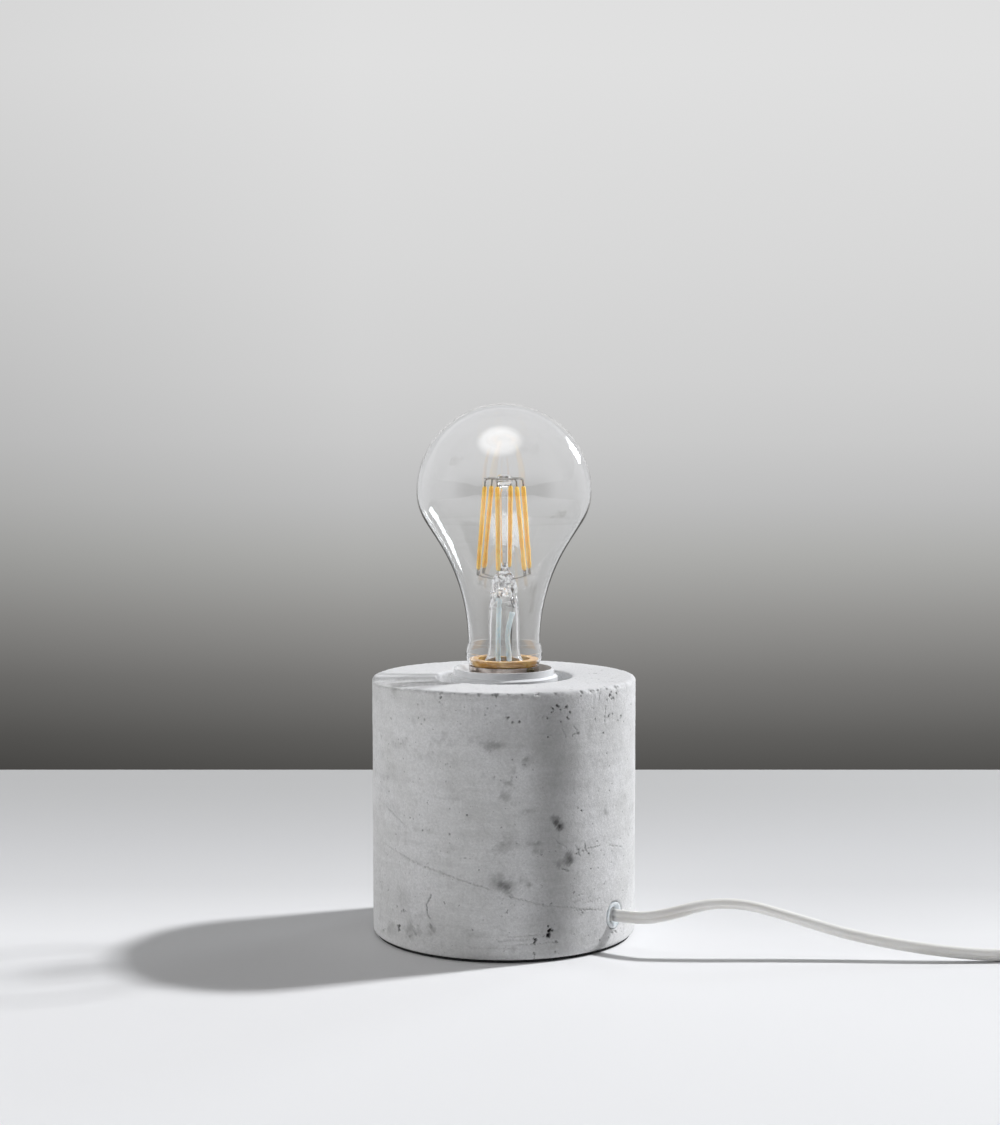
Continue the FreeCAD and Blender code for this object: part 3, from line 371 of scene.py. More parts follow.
def concrete_paint():
    """Cast concrete, with the stains and the painted shade that the body's mesh holds."""
    paint = Paint("concrete")
    stain_and_shade = paint.node("ShaderNodeAttribute", attribute_name="stain_and_shade").outputs["Fac"]
    cloud = paint.noise(22, 5, 0.6)
    streak = paint.noise(9, 5, 0.62, paint.stretched(0.35, 0.35, 3.2))
    fine_streak = paint.noise(3, 4, 0.6, paint.stretched(0.2, 0.2, 3.5))
    grain = paint.noise(0.9, 5, 0.7)
    speck = paint.noise(1.7, 2, 0.5)
    colour = paint.ramp(cloud, (0.32, (211, 211, 210)), (0.5, (224, 224, 224)),
                        (0.68, (232, 232, 233)))
    colour = paint.mix(paint.steps(streak, 0.5, 0.74, 0, 0.5), colour, rgb(238, 238, 239))
    colour = paint.mix(paint.steps(streak, 0.5, 0.28, 0, 0.4), colour, rgb(201, 201, 201))
    colour = paint.mix(paint.steps(fine_streak, 0.55, 0.72, 0, 0.3), colour, rgb(239, 239, 240))
    mottle = paint.noise(3.4, 6, 0.72)
    colour = paint.mix(paint.steps(mottle, 0.5, 0.28, 0, 0.5), colour, rgb(184, 184, 183))
    colour = paint.mix(paint.steps(mottle, 0.55, 0.75, 0, 0.5), colour, rgb(241, 241, 241))
    colour = paint.mix(paint.steps(grain, 0.35, 0.68, 0.4, 0.0), colour, rgb(184, 184, 184))
    colour = paint.mix(paint.steps(speck, 0.68, 0.78, 0, 0.7), colour, rgb(120, 119, 118))
    colour = paint.mix(paint.steps(speck, 0.27, 0.2, 0, 0.8), colour, rgb(240, 240, 240))
    top = paint.steps(paint.axis(2), (BODY_TOP - 1.2) * MM, (BODY_TOP - 0.4) * MM)
    colour = paint.mix(top, colour, paint.mix(paint.steps(grain, 0.3, 0.6, 0.35, 0.0),
                                              rgb(216, 216, 217), rgb(194, 194, 195)))
    # Darken by the stains and the painted shade that the mesh holds
    colour = paint.mix(stain_and_shade, colour, rgb(62, 61, 60))
    paint.set("Base Color", colour)
    paint.roughen(cloud, 0.78, 0.95)
    paint.bump(paint.noise(2.6, 5, 0.65), 0.24)
    paint.bump(grain, 0.13)
    return paint.material


# camera
def make_camera():
    data = bpy.data.cameras.new("camera")
    data.sensor_width = 36.0
    data.lens = data.sensor_width * FOCAL / PHOTO_HEIGHT
    camera = bpy.data.objects.new("camera", data)
    camera.location = CAMERA * MM
    camera.rotation_euler = (math.pi / 2 - PITCH, 0, 0)
    bpy.context.collection.objects.link(camera)
    bpy.context.scene.camera = camera


def sight(px, py):
    """The direction in which the camera sees a pixel of the 1000 x 1125 photograph."""
    ahead = Vector((0, math.cos(PITCH), -math.sin(PITCH)))
    up = Vector((0, math.sin(PITCH), math.cos(PITCH)))
    right = Vector((1, 0, 0))
    return ahead + right * ((px - PHOTO_WIDTH / 2) / FOCAL) + up * ((PHOTO_HEIGHT / 2 - py) / FOCAL)


def on_side(px, py):
    """The point of the body's wall at a pixel."""
    way = sight(px, py)
    a = way.x ** 2 + way.y ** 2
    b = 2 * (CAMERA.x * way.x + CAMERA.y * way.y)
    c = CAMERA.x ** 2 + CAMERA.y ** 2 - BODY_RADIUS ** 2
    step = (-b - math.sqrt(max(b * b - 4 * a * c, 0))) / (2 * a)
    return CAMERA + way * step


def at_height(px, py, height):
    """The point of a level plane at a pixel."""
    way = sight(px, py)
    return CAMERA + way * ((height - CAMERA.z) / way.z)


# cord
CORD_WIDTH, CORD_THICKNESS = 4.8, 2.9
# Routes of the cord's middle line: bush to switch, switch to coil, and coil to plug
TO_SWITCH = [(40.63, -28.45, 12.5), (49.64, -34.76, 12.5), (60.5, -38.6, 15.3), (74, -38, 19.2),
             (88, -38.6, 19.2), (104, -40, 14.8), (126, -43, 8.5), (152, -46.2, 4.4),
             (174, -47, 2.4), (187, -45.9, 2.6), (198, -42.8, 7.0), (205, -42, 7.5),
             (214.5, -42, 7.5)]
TO_COIL = [(259.5, -42, 7.5), (270.5, -42, 7.5), (284.5, -42, 5.2), (301, -32, 3.7),
           (311, -15, 3.7), (311, 7.2, 3.7)]
TO_PLUG = [(311, 16.8, 19.9), (311, 30.8, 19.9), (302.8, 42.1, 22), (289.5, 46.7, 24.5),
           (276.1, 42.1, 27), (267.9, 30.8, 29.2), (267.9, 16.8, 29.2), (267.9, -4, 29.2)]
COIL_CENTRE = Vector((278, 12, 0))
COIL_TURNS, COIL_LAYER_TURNS, COIL_LAYERS = 8, 2, 4
COIL_RADIUS, COIL_PITCH, COIL_HEIGHT = 33.0, 5.4, 3.7


def coil_points(per_turn=16):
    """The turns of the put-away coil: in and out by layers, each climb in half a turn."""
    points = []
    for step in range(1, COIL_TURNS * per_turn):
        turns = step / per_turn
        fold = turns / COIL_LAYER_TURNS
        layer = min(int(fold), COIL_LAYERS - 1)
        share = fold - layer
        inward = share if layer % 2 == 0 else 1 - share
        radius = COIL_RADIUS - COIL_PITCH * COIL_LAYER_TURNS * inward
        height = COIL_HEIGHT
        for reversal in range(1, COIL_LAYERS):
            climb = min(max((turns - reversal * COIL_LAYER_TURNS) * 2 + 0.5, 0), 1)
            height += COIL_PITCH * (1 - math.cos(math.pi * climb)) / 2
        turn = 2 * math.pi * turns
        points.append(COIL_CENTRE + around(radius, turn, height))
    return points


def twin_outline():
    """Cross-section of the twin flat cord, with a shallow groove between its cores."""
    radius = CORD_THICKNESS / 2
    centre = (CORD_WIDTH - CORD_THICKNESS) / 2
    groove = [(0.5, radius * 0.965), (0.25, radius * 0.86), (0.0, radius * 0.8),
              (-0.25, radius * 0.86), (-0.5, radius * 0.965)]
    sweep, step = 150, 15

    def core(middle, first):
        return [(middle + radius * math.cos(math.radians(a)), radius * math.sin(math.radians(a)))
                for a in range(first, first + sweep + 1, step)]

    return core(centre, -75) + groove + core(-centre, 105) + [(-u, -v) for u, v in groove]


def make_cords(paint):
    outline = twin_outline()
    first = spline_points(TO_SWITCH)
    # (distance run, lean in degrees) of the flat cord, which stands on its edge at 90
    lean = [(0, 84), (22, 76), (42, 44), (62, 40), (85, 52), (120, 60), (150, 72), (170, 84)]
    lamp_cord = sweep("cord_to_switch", first, outline, lean=lambda run: between(run, lean))
    finish_piece(lamp_cord, "root", paint, "cord_sheath", "cord_lamp_side")
    rest = spline_points(TO_COIL + coil_points() + TO_PLUG, resolution=4)
    plug_cord = sweep("cord_to_plug", rest, outline, lean=lambda run: 90)
    finish_piece(plug_cord, "root", paint, "cord_sheath", "cord_to_coil", "cord_coil", "cord_plug_side")
    hidden = [around(reach, HOLE_TURN, HOLE_HEIGHT) for reach in (13, 20, 30, 40, 49.6)]
    inner = sweep("cord_inside", hidden, outline, lean=lambda run: 84)
    finish_piece(inner, "root", paint, "cord_sheath", "inner_sheath")


def cord_paint():
    paint = Paint("cord_sheath", IOR=1.5, Subsurface_Weight=0.7,
                  Subsurface_Radius=(0.0025, 0.0025, 0.0024), Subsurface_Scale=1.0)
    dust = paint.noise(2.4, 4, 0.6)
    colour = paint.ramp(paint.noise(18, 3), (0.3, (228, 226, 223)), (0.7, (234, 233, 231)))
    colour = paint.mix(paint.steps(dust, 0.62, 0.8, 0, 0.2), colour, rgb(206, 204, 201))
    paint.set("Base Color", colour)
    paint.roughen(dust, 0.38, 0.5)
    paint.bump(paint.noise(0.6, 3), 0.015)
    return paint.material


# stage and light
def make_table():
    """Thick table top that ends behind the lamp, where its back edge is the photograph's horizon."""
    wide, near, far, thick = 950, -1200, 351.5, 30
    outline = ((-wide, near), (wide, near), (wide, far), (-wide, far))
    corners = [(x, y, z) for z in (0, -thick) for x, y in outline]
    faces = [(0, 1, 2, 3), (7, 6, 5, 4), (0, 4, 5, 1), (1, 5, 6, 2), (2, 6, 7, 3), (3, 7, 4, 0)]
    table = mesh_piece("table", corners, faces, False)
    paint = Paint("table", Roughness=0.62, Specular_IOR_Level=0.25)
    # Painted shade: the top is painted darker towards the back, where less light falls
    paint.set("Base Color", paint.ramp(
        paint.steps(paint.axis(1), -0.16, 0.34), (0.0, (230, 230, 231)), (0.22, (229, 229, 230)),
        (0.45, (207, 207, 208)), (0.72, (194, 194, 195)), (1.0, (180, 180, 180))))
    table.data.materials.append(paint.material)


def make_wall():
    """Glowing backdrop that adds no light to the object, its light and shade painted: dark low down, and
    dimmer on the left.
    """
    wide, back, low, high = 720, 1600, -300, 1000
    corners = [(-wide, back, low), (wide, back, low), (wide, back, high), (-wide, back, high)]
    wall = mesh_piece("wall", corners, [(0, 1, 2, 3)], False)
    paint = Paint("wall")
    height = paint.steps(paint.axis(2), -0.22, 0.606, kind="LINEAR")
    places = (0.0, 0.05, 0.135, 0.22, 0.31, 0.39, 0.475, 0.56, 0.73, 1.0)
    bright = ((82, 81, 79), (96, 95, 93), (122, 121, 119), (148, 147, 145), (173, 173, 171),
              (190, 190, 190), (202, 202, 202), (209, 209, 209), (216, 216, 216), (224, 224, 224))
    dim = ((71, 70, 68), (83, 82, 80), (107, 106, 104), (133, 132, 130), (157, 157, 155),
           (174, 174, 173), (186, 186, 186), (193, 193, 193), (204, 204, 204), (215, 215, 215))
    across = paint.steps(paint.axis(0), -0.58, -0.17, kind="LINEAR")
    gradient = paint.mix(across, paint.ramp(height, *zip(places, dim)),
                         paint.ramp(height, *zip(places, bright)))
    glow = paint.node("ShaderNodeEmission", {"Color": gradient, "Strength": 1.0})
    paint.show_seen(paint.node("ShaderNodeBsdfTransparent"), glow)
    wall.data.materials.append(paint.material)


def area_light(name, place, target, size, power, colour=(1, 1, 1), mirrored=False):
    """A rectangular lamp; metal and glass show it only if it is mirrored."""
    data = bpy.data.lights.new(name, "AREA")
    data.shape = "RECTANGLE"
    data.size, data.size_y = size
    data.energy = power
    data.color = colour
    lamp = bpy.data.objects.new(name, data)
    lamp.location = place
    way = Vector(target) - Vector(place)
    lamp.rotation_euler = way.to_track_quat("-Z", "Y").to_euler()
    lamp.visible_glossy = mirrored
    lamp.visible_transmission = mirrored
    bpy.context.collection.objects.link(lamp)


def make_world():
    """Weak even light; metal and glass see a pale room, dark low in front, with a bright patch above."""
    world = bpy.data.worlds.new("world")
    bpy.context.scene.world = world
    world.use_nodes = True
    room = Nodes(world.node_tree, "Generated", "World Output")
    fill = room.tree.nodes["Background"]
    room.plug(fill.inputs["Color"], (1, 1, 1, 1))
    room.plug(fill.inputs["Strength"], 0.037)
    dark = room.math("MULTIPLY", room.steps(room.axis(1), -0.2, -0.7), room.steps(room.axis(2), 0.45, 0.1))
    walls = room.mix(dark, rgb(222, 223, 225), rgb(84, 82, 80))
    patch_way, patch_colour = (-0.08, -0.3, 0.95), (3.6, 3.6, 3.6, 1)
    facing = room.node("ShaderNodeVectorMath", {0: room.place, 1: patch_way}, operation="DOT_PRODUCT")
    glow = room.mix(room.steps(facing.outputs["Value"], 0.885, 0.975), walls, patch_colour)
    room.show_seen(fill, room.node("ShaderNodeBackground", {"Color": glow, "Strength": 1.0}))


def make_lamps():
    """A small strong key from behind on the right, three weak panels and a window that the glass mirrors."""
    middle, bulb = (0, 0, 0.1), (0, 0, 0.165)
    area_light("key", (2.8, 1.08, 3.07), middle, (0.32, 0.32), 200.0, (0.97, 0.98, 1.0))
    area_light("overhead", (-0.1, -0.2, 1.5), middle, (0.9, 0.7), 1.9)
    area_light("left_panel", (-1.25, -0.15, 0.5), middle, (1.3, 1.0), 8.4)
    area_light("right_panel", (1.25, 0.3, 0.45), middle, (0.9, 0.9), 1.8)
    area_light("window", (0.83, 0.9, 0.61), bulb, (0.3, 0.28), 2.1, (0.9, 0.96, 1.0), True)


# concrete body
# Marks seen on the body. Pits as (x, y) in pixels, then radius and depth in millimetres and stain
PIT_PIXELS = (
    (549.4, 931, 0.85, 1.5, 1), (548.6, 935.4, 0.95, 1.6, 1), (551, 929.6, 0.5, 0.7, 0.8),
    (535.6, 939.6, 0.6, 1, 0.95), (534.8, 942.4, 0.5, 0.8, 0.8), (533.6, 953, 0.4, 0.4, 0.5),
    (398.4, 926.4, 0.75, 1.3, 1), (399, 929.6, 0.8, 1.3, 1), (397, 906.6, 0.45, 0.5, 0.7),
    (403.5, 910, 0.55, 0.6, 0.75), (405.6, 911.4, 0.35, 0.3, 0.5), (383.4, 930.4, 0.6, 0.4, 0.4),
    (553, 708.5, 0.5, 0.5, 0.5), (557.4, 705.4, 0.75, 0.7, 0.6), (560.4, 709.6, 0.45, 0.4, 0.5),
    (566.6, 706.6, 0.6, 0.5, 0.5), (551.4, 712.4, 0.4, 0.3, 0.5), (570, 712, 0.45, 0.4, 0.5),
    (567.4, 717.6, 0.55, 0.5, 0.5), (547.6, 718.4, 0.4, 0.3, 0.4), (610, 695.4, 0.8, 0.7, 0.6),
    (613.4, 698, 0.55, 0.5, 0.5), (607, 700, 0.4, 0.3, 0.4), (616.4, 693.4, 0.45, 0.4, 0.4),
    (608.6, 716, 0.5, 0.5, 0.5), (612.4, 714, 0.4, 0.3, 0.5), (620.8, 716, 0.5, 0.5, 0.5),
    (618, 720.4, 0.4, 0.3, 0.4), (631, 704, 0.5, 0.4, 0.4), (548, 737.2, 0.35, 0.3, 0.5),
    (595, 719, 0.35, 0.3, 0.5), (603.6, 733, 0.45, 0.4, 0.6), (581.7, 810.4, 0.45, 0.5, 0.8),
    (381.4, 737, 0.45, 0.5, 0.8), (467, 815, 0.4, 0.4, 0.7), (449.6, 808.6, 0.3, 0.3, 0.4),
    (508, 717.6, 0.6, 0.5, 0.5), (512.4, 722.4, 0.5, 0.4, 0.5), (519.8, 721.4, 0.5, 0.5, 0.6),
    (487.6, 708.4, 0.4, 0.3, 0.4), (440.6, 697.6, 0.6, 0.5, 0.4), (439.6, 701.6, 0.4, 0.3, 0.4),
    (418.6, 717.4, 0.4, 0.3, 0.4), (424.6, 719.6, 0.4, 0.3, 0.4), (421.6, 724, 0.35, 0.3, 0.4),
    (386, 720.4, 0.35, 0.3, 0.3), (583, 851, 0.45, 0.3, 0.4), (579, 849.4, 0.4, 0.3, 0.4),
    (588.6, 853.6, 0.45, 0.4, 0.5), (555.6, 951.6, 0.4, 0.3, 0.5), (542, 854.6, 0.4, 0.3, 0.4),
    (517, 843.4, 0.35, 0.3, 0.4), (561, 721.6, 0.35, 0.3, 0.4), (599.6, 940, 0.4, 0.3, 0.4),
    (592, 902, 0.3, 0.2, 0.3), (604, 884, 0.35, 0.3, 0.3), (622.6, 812, 0.35, 0.3, 0.4),
    (611.6, 933, 0.8, 0.4, 0.22), (615.6, 931.4, 0.7, 0.35, 0.2), (608.6, 937.6, 0.5, 0.25, 0.18))
# Nicks of the rim as x in pixels, then radius and depth in millimetres
RIM_NICK_PIXELS = ((496.4, 0.95, 0.7), (492.6, 0.6, 0.4), (478.6, 0.9, 0.55), (466, 0.6, 0.3),
                   (440, 0.8, 0.45), (426, 0.5, 0.25), (522, 0.7, 0.35), (536.6, 0.6, 0.3),
                   (556, 0.7, 0.35), (581.7, 0.9, 0.5), (592, 0.6, 0.35), (607, 0.7, 0.4),
                   (404, 0.6, 0.3), (618, 0.6, 0.3), (510, 0.5, 0.25), (454, 0.5, 0.25))
# Pits of the top as (x, y) in pixels, then radius and depth in millimetres
TOP_PIT_PIXELS = ((594.7, 673.3, 0.8, 0.6), (601.7, 670.6, 0.65, 0.6), (612, 678.4, 0.5, 0.4),
                  (571, 689.4, 0.6, 0.5), (583, 691.6, 0.5, 0.4), (476, 689, 0.5, 0.3),
                  (588, 683, 0.4, 0.3), (560, 692.4, 0.45, 0.3), (603, 664, 0.5, 0.3))
# Smudges as (x, y, half width, half height, tilt in degrees, stain), the sizes in pixels too
SMUDGE_PIXELS = (
    (491, 745.6, 13, 3.4, 0, 0.45), (480, 742.6, 16, 2.4, 4, 0.21), (526, 762.4, 3.2, 4.6, 20, 0.45),
    (505.7, 782.6, 9, 2.2, 0, 0.39), (502, 795.4, 6.5, 4, 8, 0.51), (528, 812, 9, 2, -6, 0.27),
    (556.6, 822.6, 8.5, 3, 40, 0.51), (559.6, 826.6, 3.4, 2.6, 40, 0.6),
    (505.7, 845.6, 11, 5, -10, 0.33), (532, 843.7, 12, 1.6, 0, 0.3), (538, 851, 10, 1.6, 4, 0.24),
    (568.7, 860, 4.2, 4.6, -30, 0.62), (561, 863, 7, 2.6, -14, 0.33),
    (504, 886.4, 8, 4.4, 10, 0.62), (508.6, 893.6, 5, 2.4, 40, 0.45), (497, 880, 5, 6, 50, 0.3),
    (526, 883, 8.5, 2, 24, 0.36), (413, 930.7, 7.5, 4.6, 20, 0.36), (431.7, 929, 3.4, 4.6, 0, 0.33),
    (606, 813, 3.4, 8, 0, 0.3), (394, 745, 5.5, 3, 0, 0.21), (404, 741, 3, 4, 0, 0.24),
    (436, 741.6, 5, 2.6, 30, 0.21), (444, 735.6, 2.4, 4, 0, 0.21), (440, 873, 4.6, 1.8, 0, 0.21),
    (433.6, 854, 9, 1.6, 30, 0.18), (404, 898, 7, 8, 0, 0.15), (392, 930, 5, 4, 0, 0.24),
    (478, 936, 14, 2, 0, 0.18),
    (388, 778, 5, 2.2, 0, 0.24), (615, 856, 3, 10, 0, 0.15))
# Broad painted shades as (x, y) in pixels, radius in millimetres and darkness
PAINTED_SHADE_PIXELS = ((500, 880, 12, 0.07), (500, 743, 10, 0.07), (526, 745, 10, 0.06), (496, 724, 12, 0.07),
                (480, 900, 10, 0.03))
# Upright band of painted shade that sways: x, first y, last y and step in pixels, then radius and darkness
PAINTED_SHADE_BAND = (555, 704, 950, 16, 13, 0.125)
# Sunk facet on the top, filled with painted shade, in pixels: x at left and right, then y above and below at
# the left and at the right
FACET_PIXELS = (392, 460, 682, 688.5, 683.4, 685.4)
# Ends of the facet's dark edge, a row of painted shadow at the foot of its wall
FACET_SHADOW_PIXELS = ((397, 682.2), (437, 682.8))
# Scratches as lines through (x, y) in pixels, then depth in millimetres and stain
SCRATCH_PIXELS = (
    (((376.8, 796.4), (391, 811), (406.5, 827)), 0.16, 0.26),
    (((384, 843), (413.4, 861.7), (440, 872), (458.9, 879.5), (490, 889)), 0.16, 0.24),
    (((506.3, 895.3), (545, 905), (575, 908.4), (602, 910.6)), 0.12, 0.2),
    (((575, 910.4), (591, 909.6)), 0.2, 0.4),
    (((431.4, 895), (426.6, 905), (427.6, 914), (430, 918)), 0.3, 0.4),
    (((573.4, 726), (578.6, 733.4), (571.6, 735)), 0.22, 0.3), (((562, 728), (566, 736.4)), 0.2, 0.2),
    (((575.6, 845.6), (580.4, 856)), 0.25, 0.3), (((584.6, 843.6), (586, 851)), 0.2, 0.3),
    (((562, 868), (568.6, 871)), 0.3, 0.3), (((609, 845.6), (622, 846.6)), 0.16, 0.3),
    (((585, 849), (600, 846)), 0.16, 0.3), (((508, 936.6), (552, 933.8)), 0.1, 0.16),
    (((498, 941), (533, 938.8)), 0.1, 0.14), (((516, 944.6), (559, 941.6)), 0.1, 0.16),
    (((470, 947.6), (520, 948.4)), 0.08, 0.12), (((573, 903.6), (590, 896.8)), 0.08, 0.14),
    (((581, 905), (601, 898)), 0.08, 0.14), (((566, 901), (583, 894)), 0.08, 0.12),
    (((604, 723.4), (605.6, 706)), 0.1, 0.12), (((598.6, 700), (601, 686.4)), 0.1, 0.12),
    (((516, 766.6), (512, 780)), 0.08, 0.1), (((553.6, 837.6), (566, 848)), 0.12, 0.14),
    (((410.6, 924), (416.4, 934.6), (409, 936.4)), 0.25, 0.2),
    (((430.4, 924.6), (434.6, 932)), 0.25, 0.24),
    (((600, 681.4), (624.5, 681.8)), 0.12, 0.3))


def pit_marks(mark, rng):
    """Pits of the wall, each with two crumbs and a raised edge, nicks of the rim and pits of the top."""
    nick_row = 700
    for px, py, radius, depth, stain_and_shade in PIT_PIXELS:
        mark(on_side(px, py), radius * 0.85, depth, 0.5, stain_and_shade)
        for _ in range(2):
            dx, dy = rng.normal(0, radius * 2.2, 2)
            mark(on_side(px + dx, py + dy), radius * 0.5, depth * 0.6, 0.6, stain_and_shade * 0.6)
        mark(on_side(px + radius * 2.4, py + radius * 1.2), radius * 0.9, -0.07, 0.8)
    for px, radius, depth in RIM_NICK_PIXELS:
        spot = on_side(px, nick_row)
        spot.z = BODY_TOP - 0.5
        mark(spot, radius, depth, 0.7, 0.3)
    for px, py, radius, depth in TOP_PIT_PIXELS:
        mark(at_height(px, py, BODY_TOP), radius, depth, 0.5, 0.5)


def smudge_and_shade_marks(mark, rng):
    """Smudges as clouds of small stains, then the broad painted shades and the band of painted shade."""
    for px, py, wide, high, tilt, stain_and_shade in SMUDGE_PIXELS:
        turn = math.radians(tilt)
        for _ in range(int(5 + wide * high / 5)):
            u, v = rng.normal(0, 0.5, 2)
            dx, dy = u * wide, v * high
            spot = on_side(px + dx * math.cos(turn) - dy * math.sin(turn),
                           py + dx * math.sin(turn) + dy * math.cos(turn))
            size = max(0.9, min(wide, high) * rng.uniform(0.25, 0.6))
            mark(spot, size, 0.01, 1.0, stain_and_shade * rng.uniform(0.6, 1.3) * math.exp(-0.6 * (u * u + v * v)))
    # Broad patches of painted shade on the front of the wall
    for px, py, radius, stain_and_shade in PAINTED_SHADE_PIXELS:
        mark(on_side(px, py), radius, 0, 1.0, stain_and_shade)
    # An upright band of painted shade down the front, where the lit side turns to shade
    px, first, last, step, radius, stain_and_shade = PAINTED_SHADE_BAND
    for py in range(first, last, step):
        sway = 4 * math.sin(py / 17)
        mark(on_side(px + sway, py), radius, 0, 1.0, stain_and_shade * (1 + 0.2 * math.sin(py / 11)))


def facet_marks(mark, rng):
    """Painted shade that fills the sunk facet, and a darker row of painted shadow at the foot of its wall.
    """
    facet_shade_marks, edge_shadow_marks = 260, 60
    left, right, top_left, low_left, top_right, low_right = FACET_PIXELS
    # Painted shade spread over the facet
    for _ in range(facet_shade_marks):
        u, v = rng.uniform(0, 1, 2)
        py = (1 - v) * (top_left + (top_right - top_left) * u) + v * (low_left + (low_right - low_left) * u)
        mark(at_height(left + (right - left) * u, py, BODY_TOP - 1), rng.uniform(1.2, 2.6), 0, 1.0,
             rng.uniform(0.2, 0.55))
    # A row of painted shadow at the foot of the facet's wall
    (ax, ay), (bx, by) = FACET_SHADOW_PIXELS
    for u in np.linspace(0, 1, edge_shadow_marks):
        mark(at_height(ax + (bx - ax) * u, ay + (by - ay) * u, BODY_TOP - 1), 1.6 + 1.6 * u, 0, 1.0,
             0.6 * math.sin(math.pi * (0.15 + 0.8 * u)))


def scratch_marks(mark, rng):
    """Scratches as rows of small marks that waver."""
    top_row = 683
    for line, depth, stain_and_shade in SCRATCH_PIXELS:
        for (ax, ay), (bx, by) in zip(line, line[1:]):
            count = max(int(math.hypot(bx - ax, by - ay) / 0.7), 1)
            for k in range(count + 1):
                px = ax + (bx - ax) * k / count + rng.normal(0, 0.3)
                py = ay + (by - ay) * k / count + rng.normal(0, 0.3)
                spot = at_height(px, py, BODY_TOP) if py < top_row else on_side(px, py)
                mark(spot, rng.uniform(0.3, 0.45), depth * rng.uniform(0.5, 1.2), 1.0,
                     stain_and_shade * rng.uniform(0.3, 0.8))


def stray_marks(mark, rng):
    """Small pits and clouds of stain all round the wall, and pits all over the top."""
    small_pits, clouds, cloud_stains, top_pits = 260, 90, 7, 90
    whole_turn = 2 * math.pi
    for _ in range(small_pits):
        turn, height = rng.uniform(0, whole_turn), rng.uniform(3, 96)
        radius = 0.24 + 0.4 * rng.beta(1.1, 5)
        mark(around(BODY_RADIUS, turn, height), radius, radius * 0.8, 0.5, rng.uniform(0.2, 0.5))
    for _ in range(clouds):
        turn, height = rng.uniform(0, whole_turn), rng.uniform(6, 94)
        for _ in range(cloud_stains):
            side, rise = rng.normal(0, 0.05), rng.normal(0, 1.1)
            mark(around(BODY_RADIUS, turn + side, height + rise), rng.uniform(1.0, 2.2), 0.02, 1.0,
                 rng.uniform(0.03, 0.14))
    for _ in range(top_pits):
        turn, reach = rng.uniform(0, whole_turn), rng.uniform(27.5, 48.5)
        radius = 0.25 + 0.4 * rng.beta(1.2, 4)
        mark(around(reach, turn, BODY_TOP), radius, radius * 0.7, 0.5, rng.uniform(0.2, 0.45))


def body_marks():
    """Marks of the cast wall and top: place, radius, depth, steepness and stain, which is painted shade for
    the broad shades and the facet.
    """
    marks = []
    rng = np.random.RandomState(11)

    def mark(place, radius, depth, steep=1.0, stain_and_shade=0.0):
        marks.append((tuple(place), radius, depth, steep, stain_and_shade))

    for add in (pit_marks, smudge_and_shade_marks, facet_marks, scratch_marks, stray_marks):
        add(mark, rng)
    return marks


def even_body():
    """The CAD body as one fine even mesh."""
    body = new_object("concrete_cast", nodes["concrete_body"].data.copy())
    body.matrix_world = nodes["concrete_body"].matrix_world
    bpy.context.view_layer.update()
    body.data.transform(body.matrix_world)
    body.matrix_world.identity()
    bpy.context.view_layer.objects.active = body
    remesh = body.modifiers.new("remesh", "REMESH")
    remesh.mode = "VOXEL"
    remesh.voxel_size = 0.78 * MM
    bpy.ops.object.modifier_apply(modifier=remesh.name)
    return body


def corners_of(mesh):
    flat = np.empty(len(mesh.vertices) * 3)
    mesh.vertices.foreach_get("co", flat)
    return flat.reshape(-1, 3) / MM


def refine(mesh, marks):
    """A finer mesh round the marks that have depth."""
    build = bmesh.new()
    build.from_mesh(mesh)
    places = corners_of(mesh)
    near = np.zeros(len(places), bool)
    for spot, radius, depth, _, _ in marks:
        if abs(depth) > 0.05:
            near |= ((places - np.array(spot)) ** 2).sum(1) < (radius + 0.6) ** 2
    build.verts.ensure_lookup_table()
    edges = {edge for index in np.nonzero(near)[0] for edge in build.verts[index].link_edges}
    bmesh.ops.subdivide_edges(build, edges=list(edges), cuts=2, use_grid_fill=True)
    bmesh.ops.triangulate(build, faces=[face for face in build.faces if len(face.verts) > 4])
    build.to_mesh(mesh)
    build.free()


def waves(places):
    """How far each corner of the outside stands out: broad and fine waves, and crumbs gone from the rim."""
    wall_reach, foot = 26.5, 3.0
    rim_reach, rim_height, rim_width = 49.7, 97.7, 1.6
    reach = np.hypot(places[:, 0], places[:, 1])
    push = np.zeros(len(places))
    for index in np.nonzero((reach > wall_reach) & (places[:, 2] > foot))[0]:
        spot = Vector(places[index])
        wave = noise.noise(spot / 21.0) * 0.10 + noise.noise(spot / 6.0 + Vector((9, 0, 0))) * 0.05
        flat_spot = Vector((spot.x * 0.3, spot.y * 0.3, spot.z * 1.8))
        wave += noise.noise(flat_spot / 3.5) * 0.03 + noise.noise(spot / 1.7) * 0.03
        edge = max(0.0, 1 - math.hypot(reach[index] - rim_reach, spot.z - rim_height) / rim_width)
        if edge:
            rough = noise.noise(spot / 2.3) + 0.6 * noise.noise(spot / 0.9)
            wave -= edge * max(0.0, rough - 0.08) * 1.3
        push[index] = min(wave, 0.1)
    return push


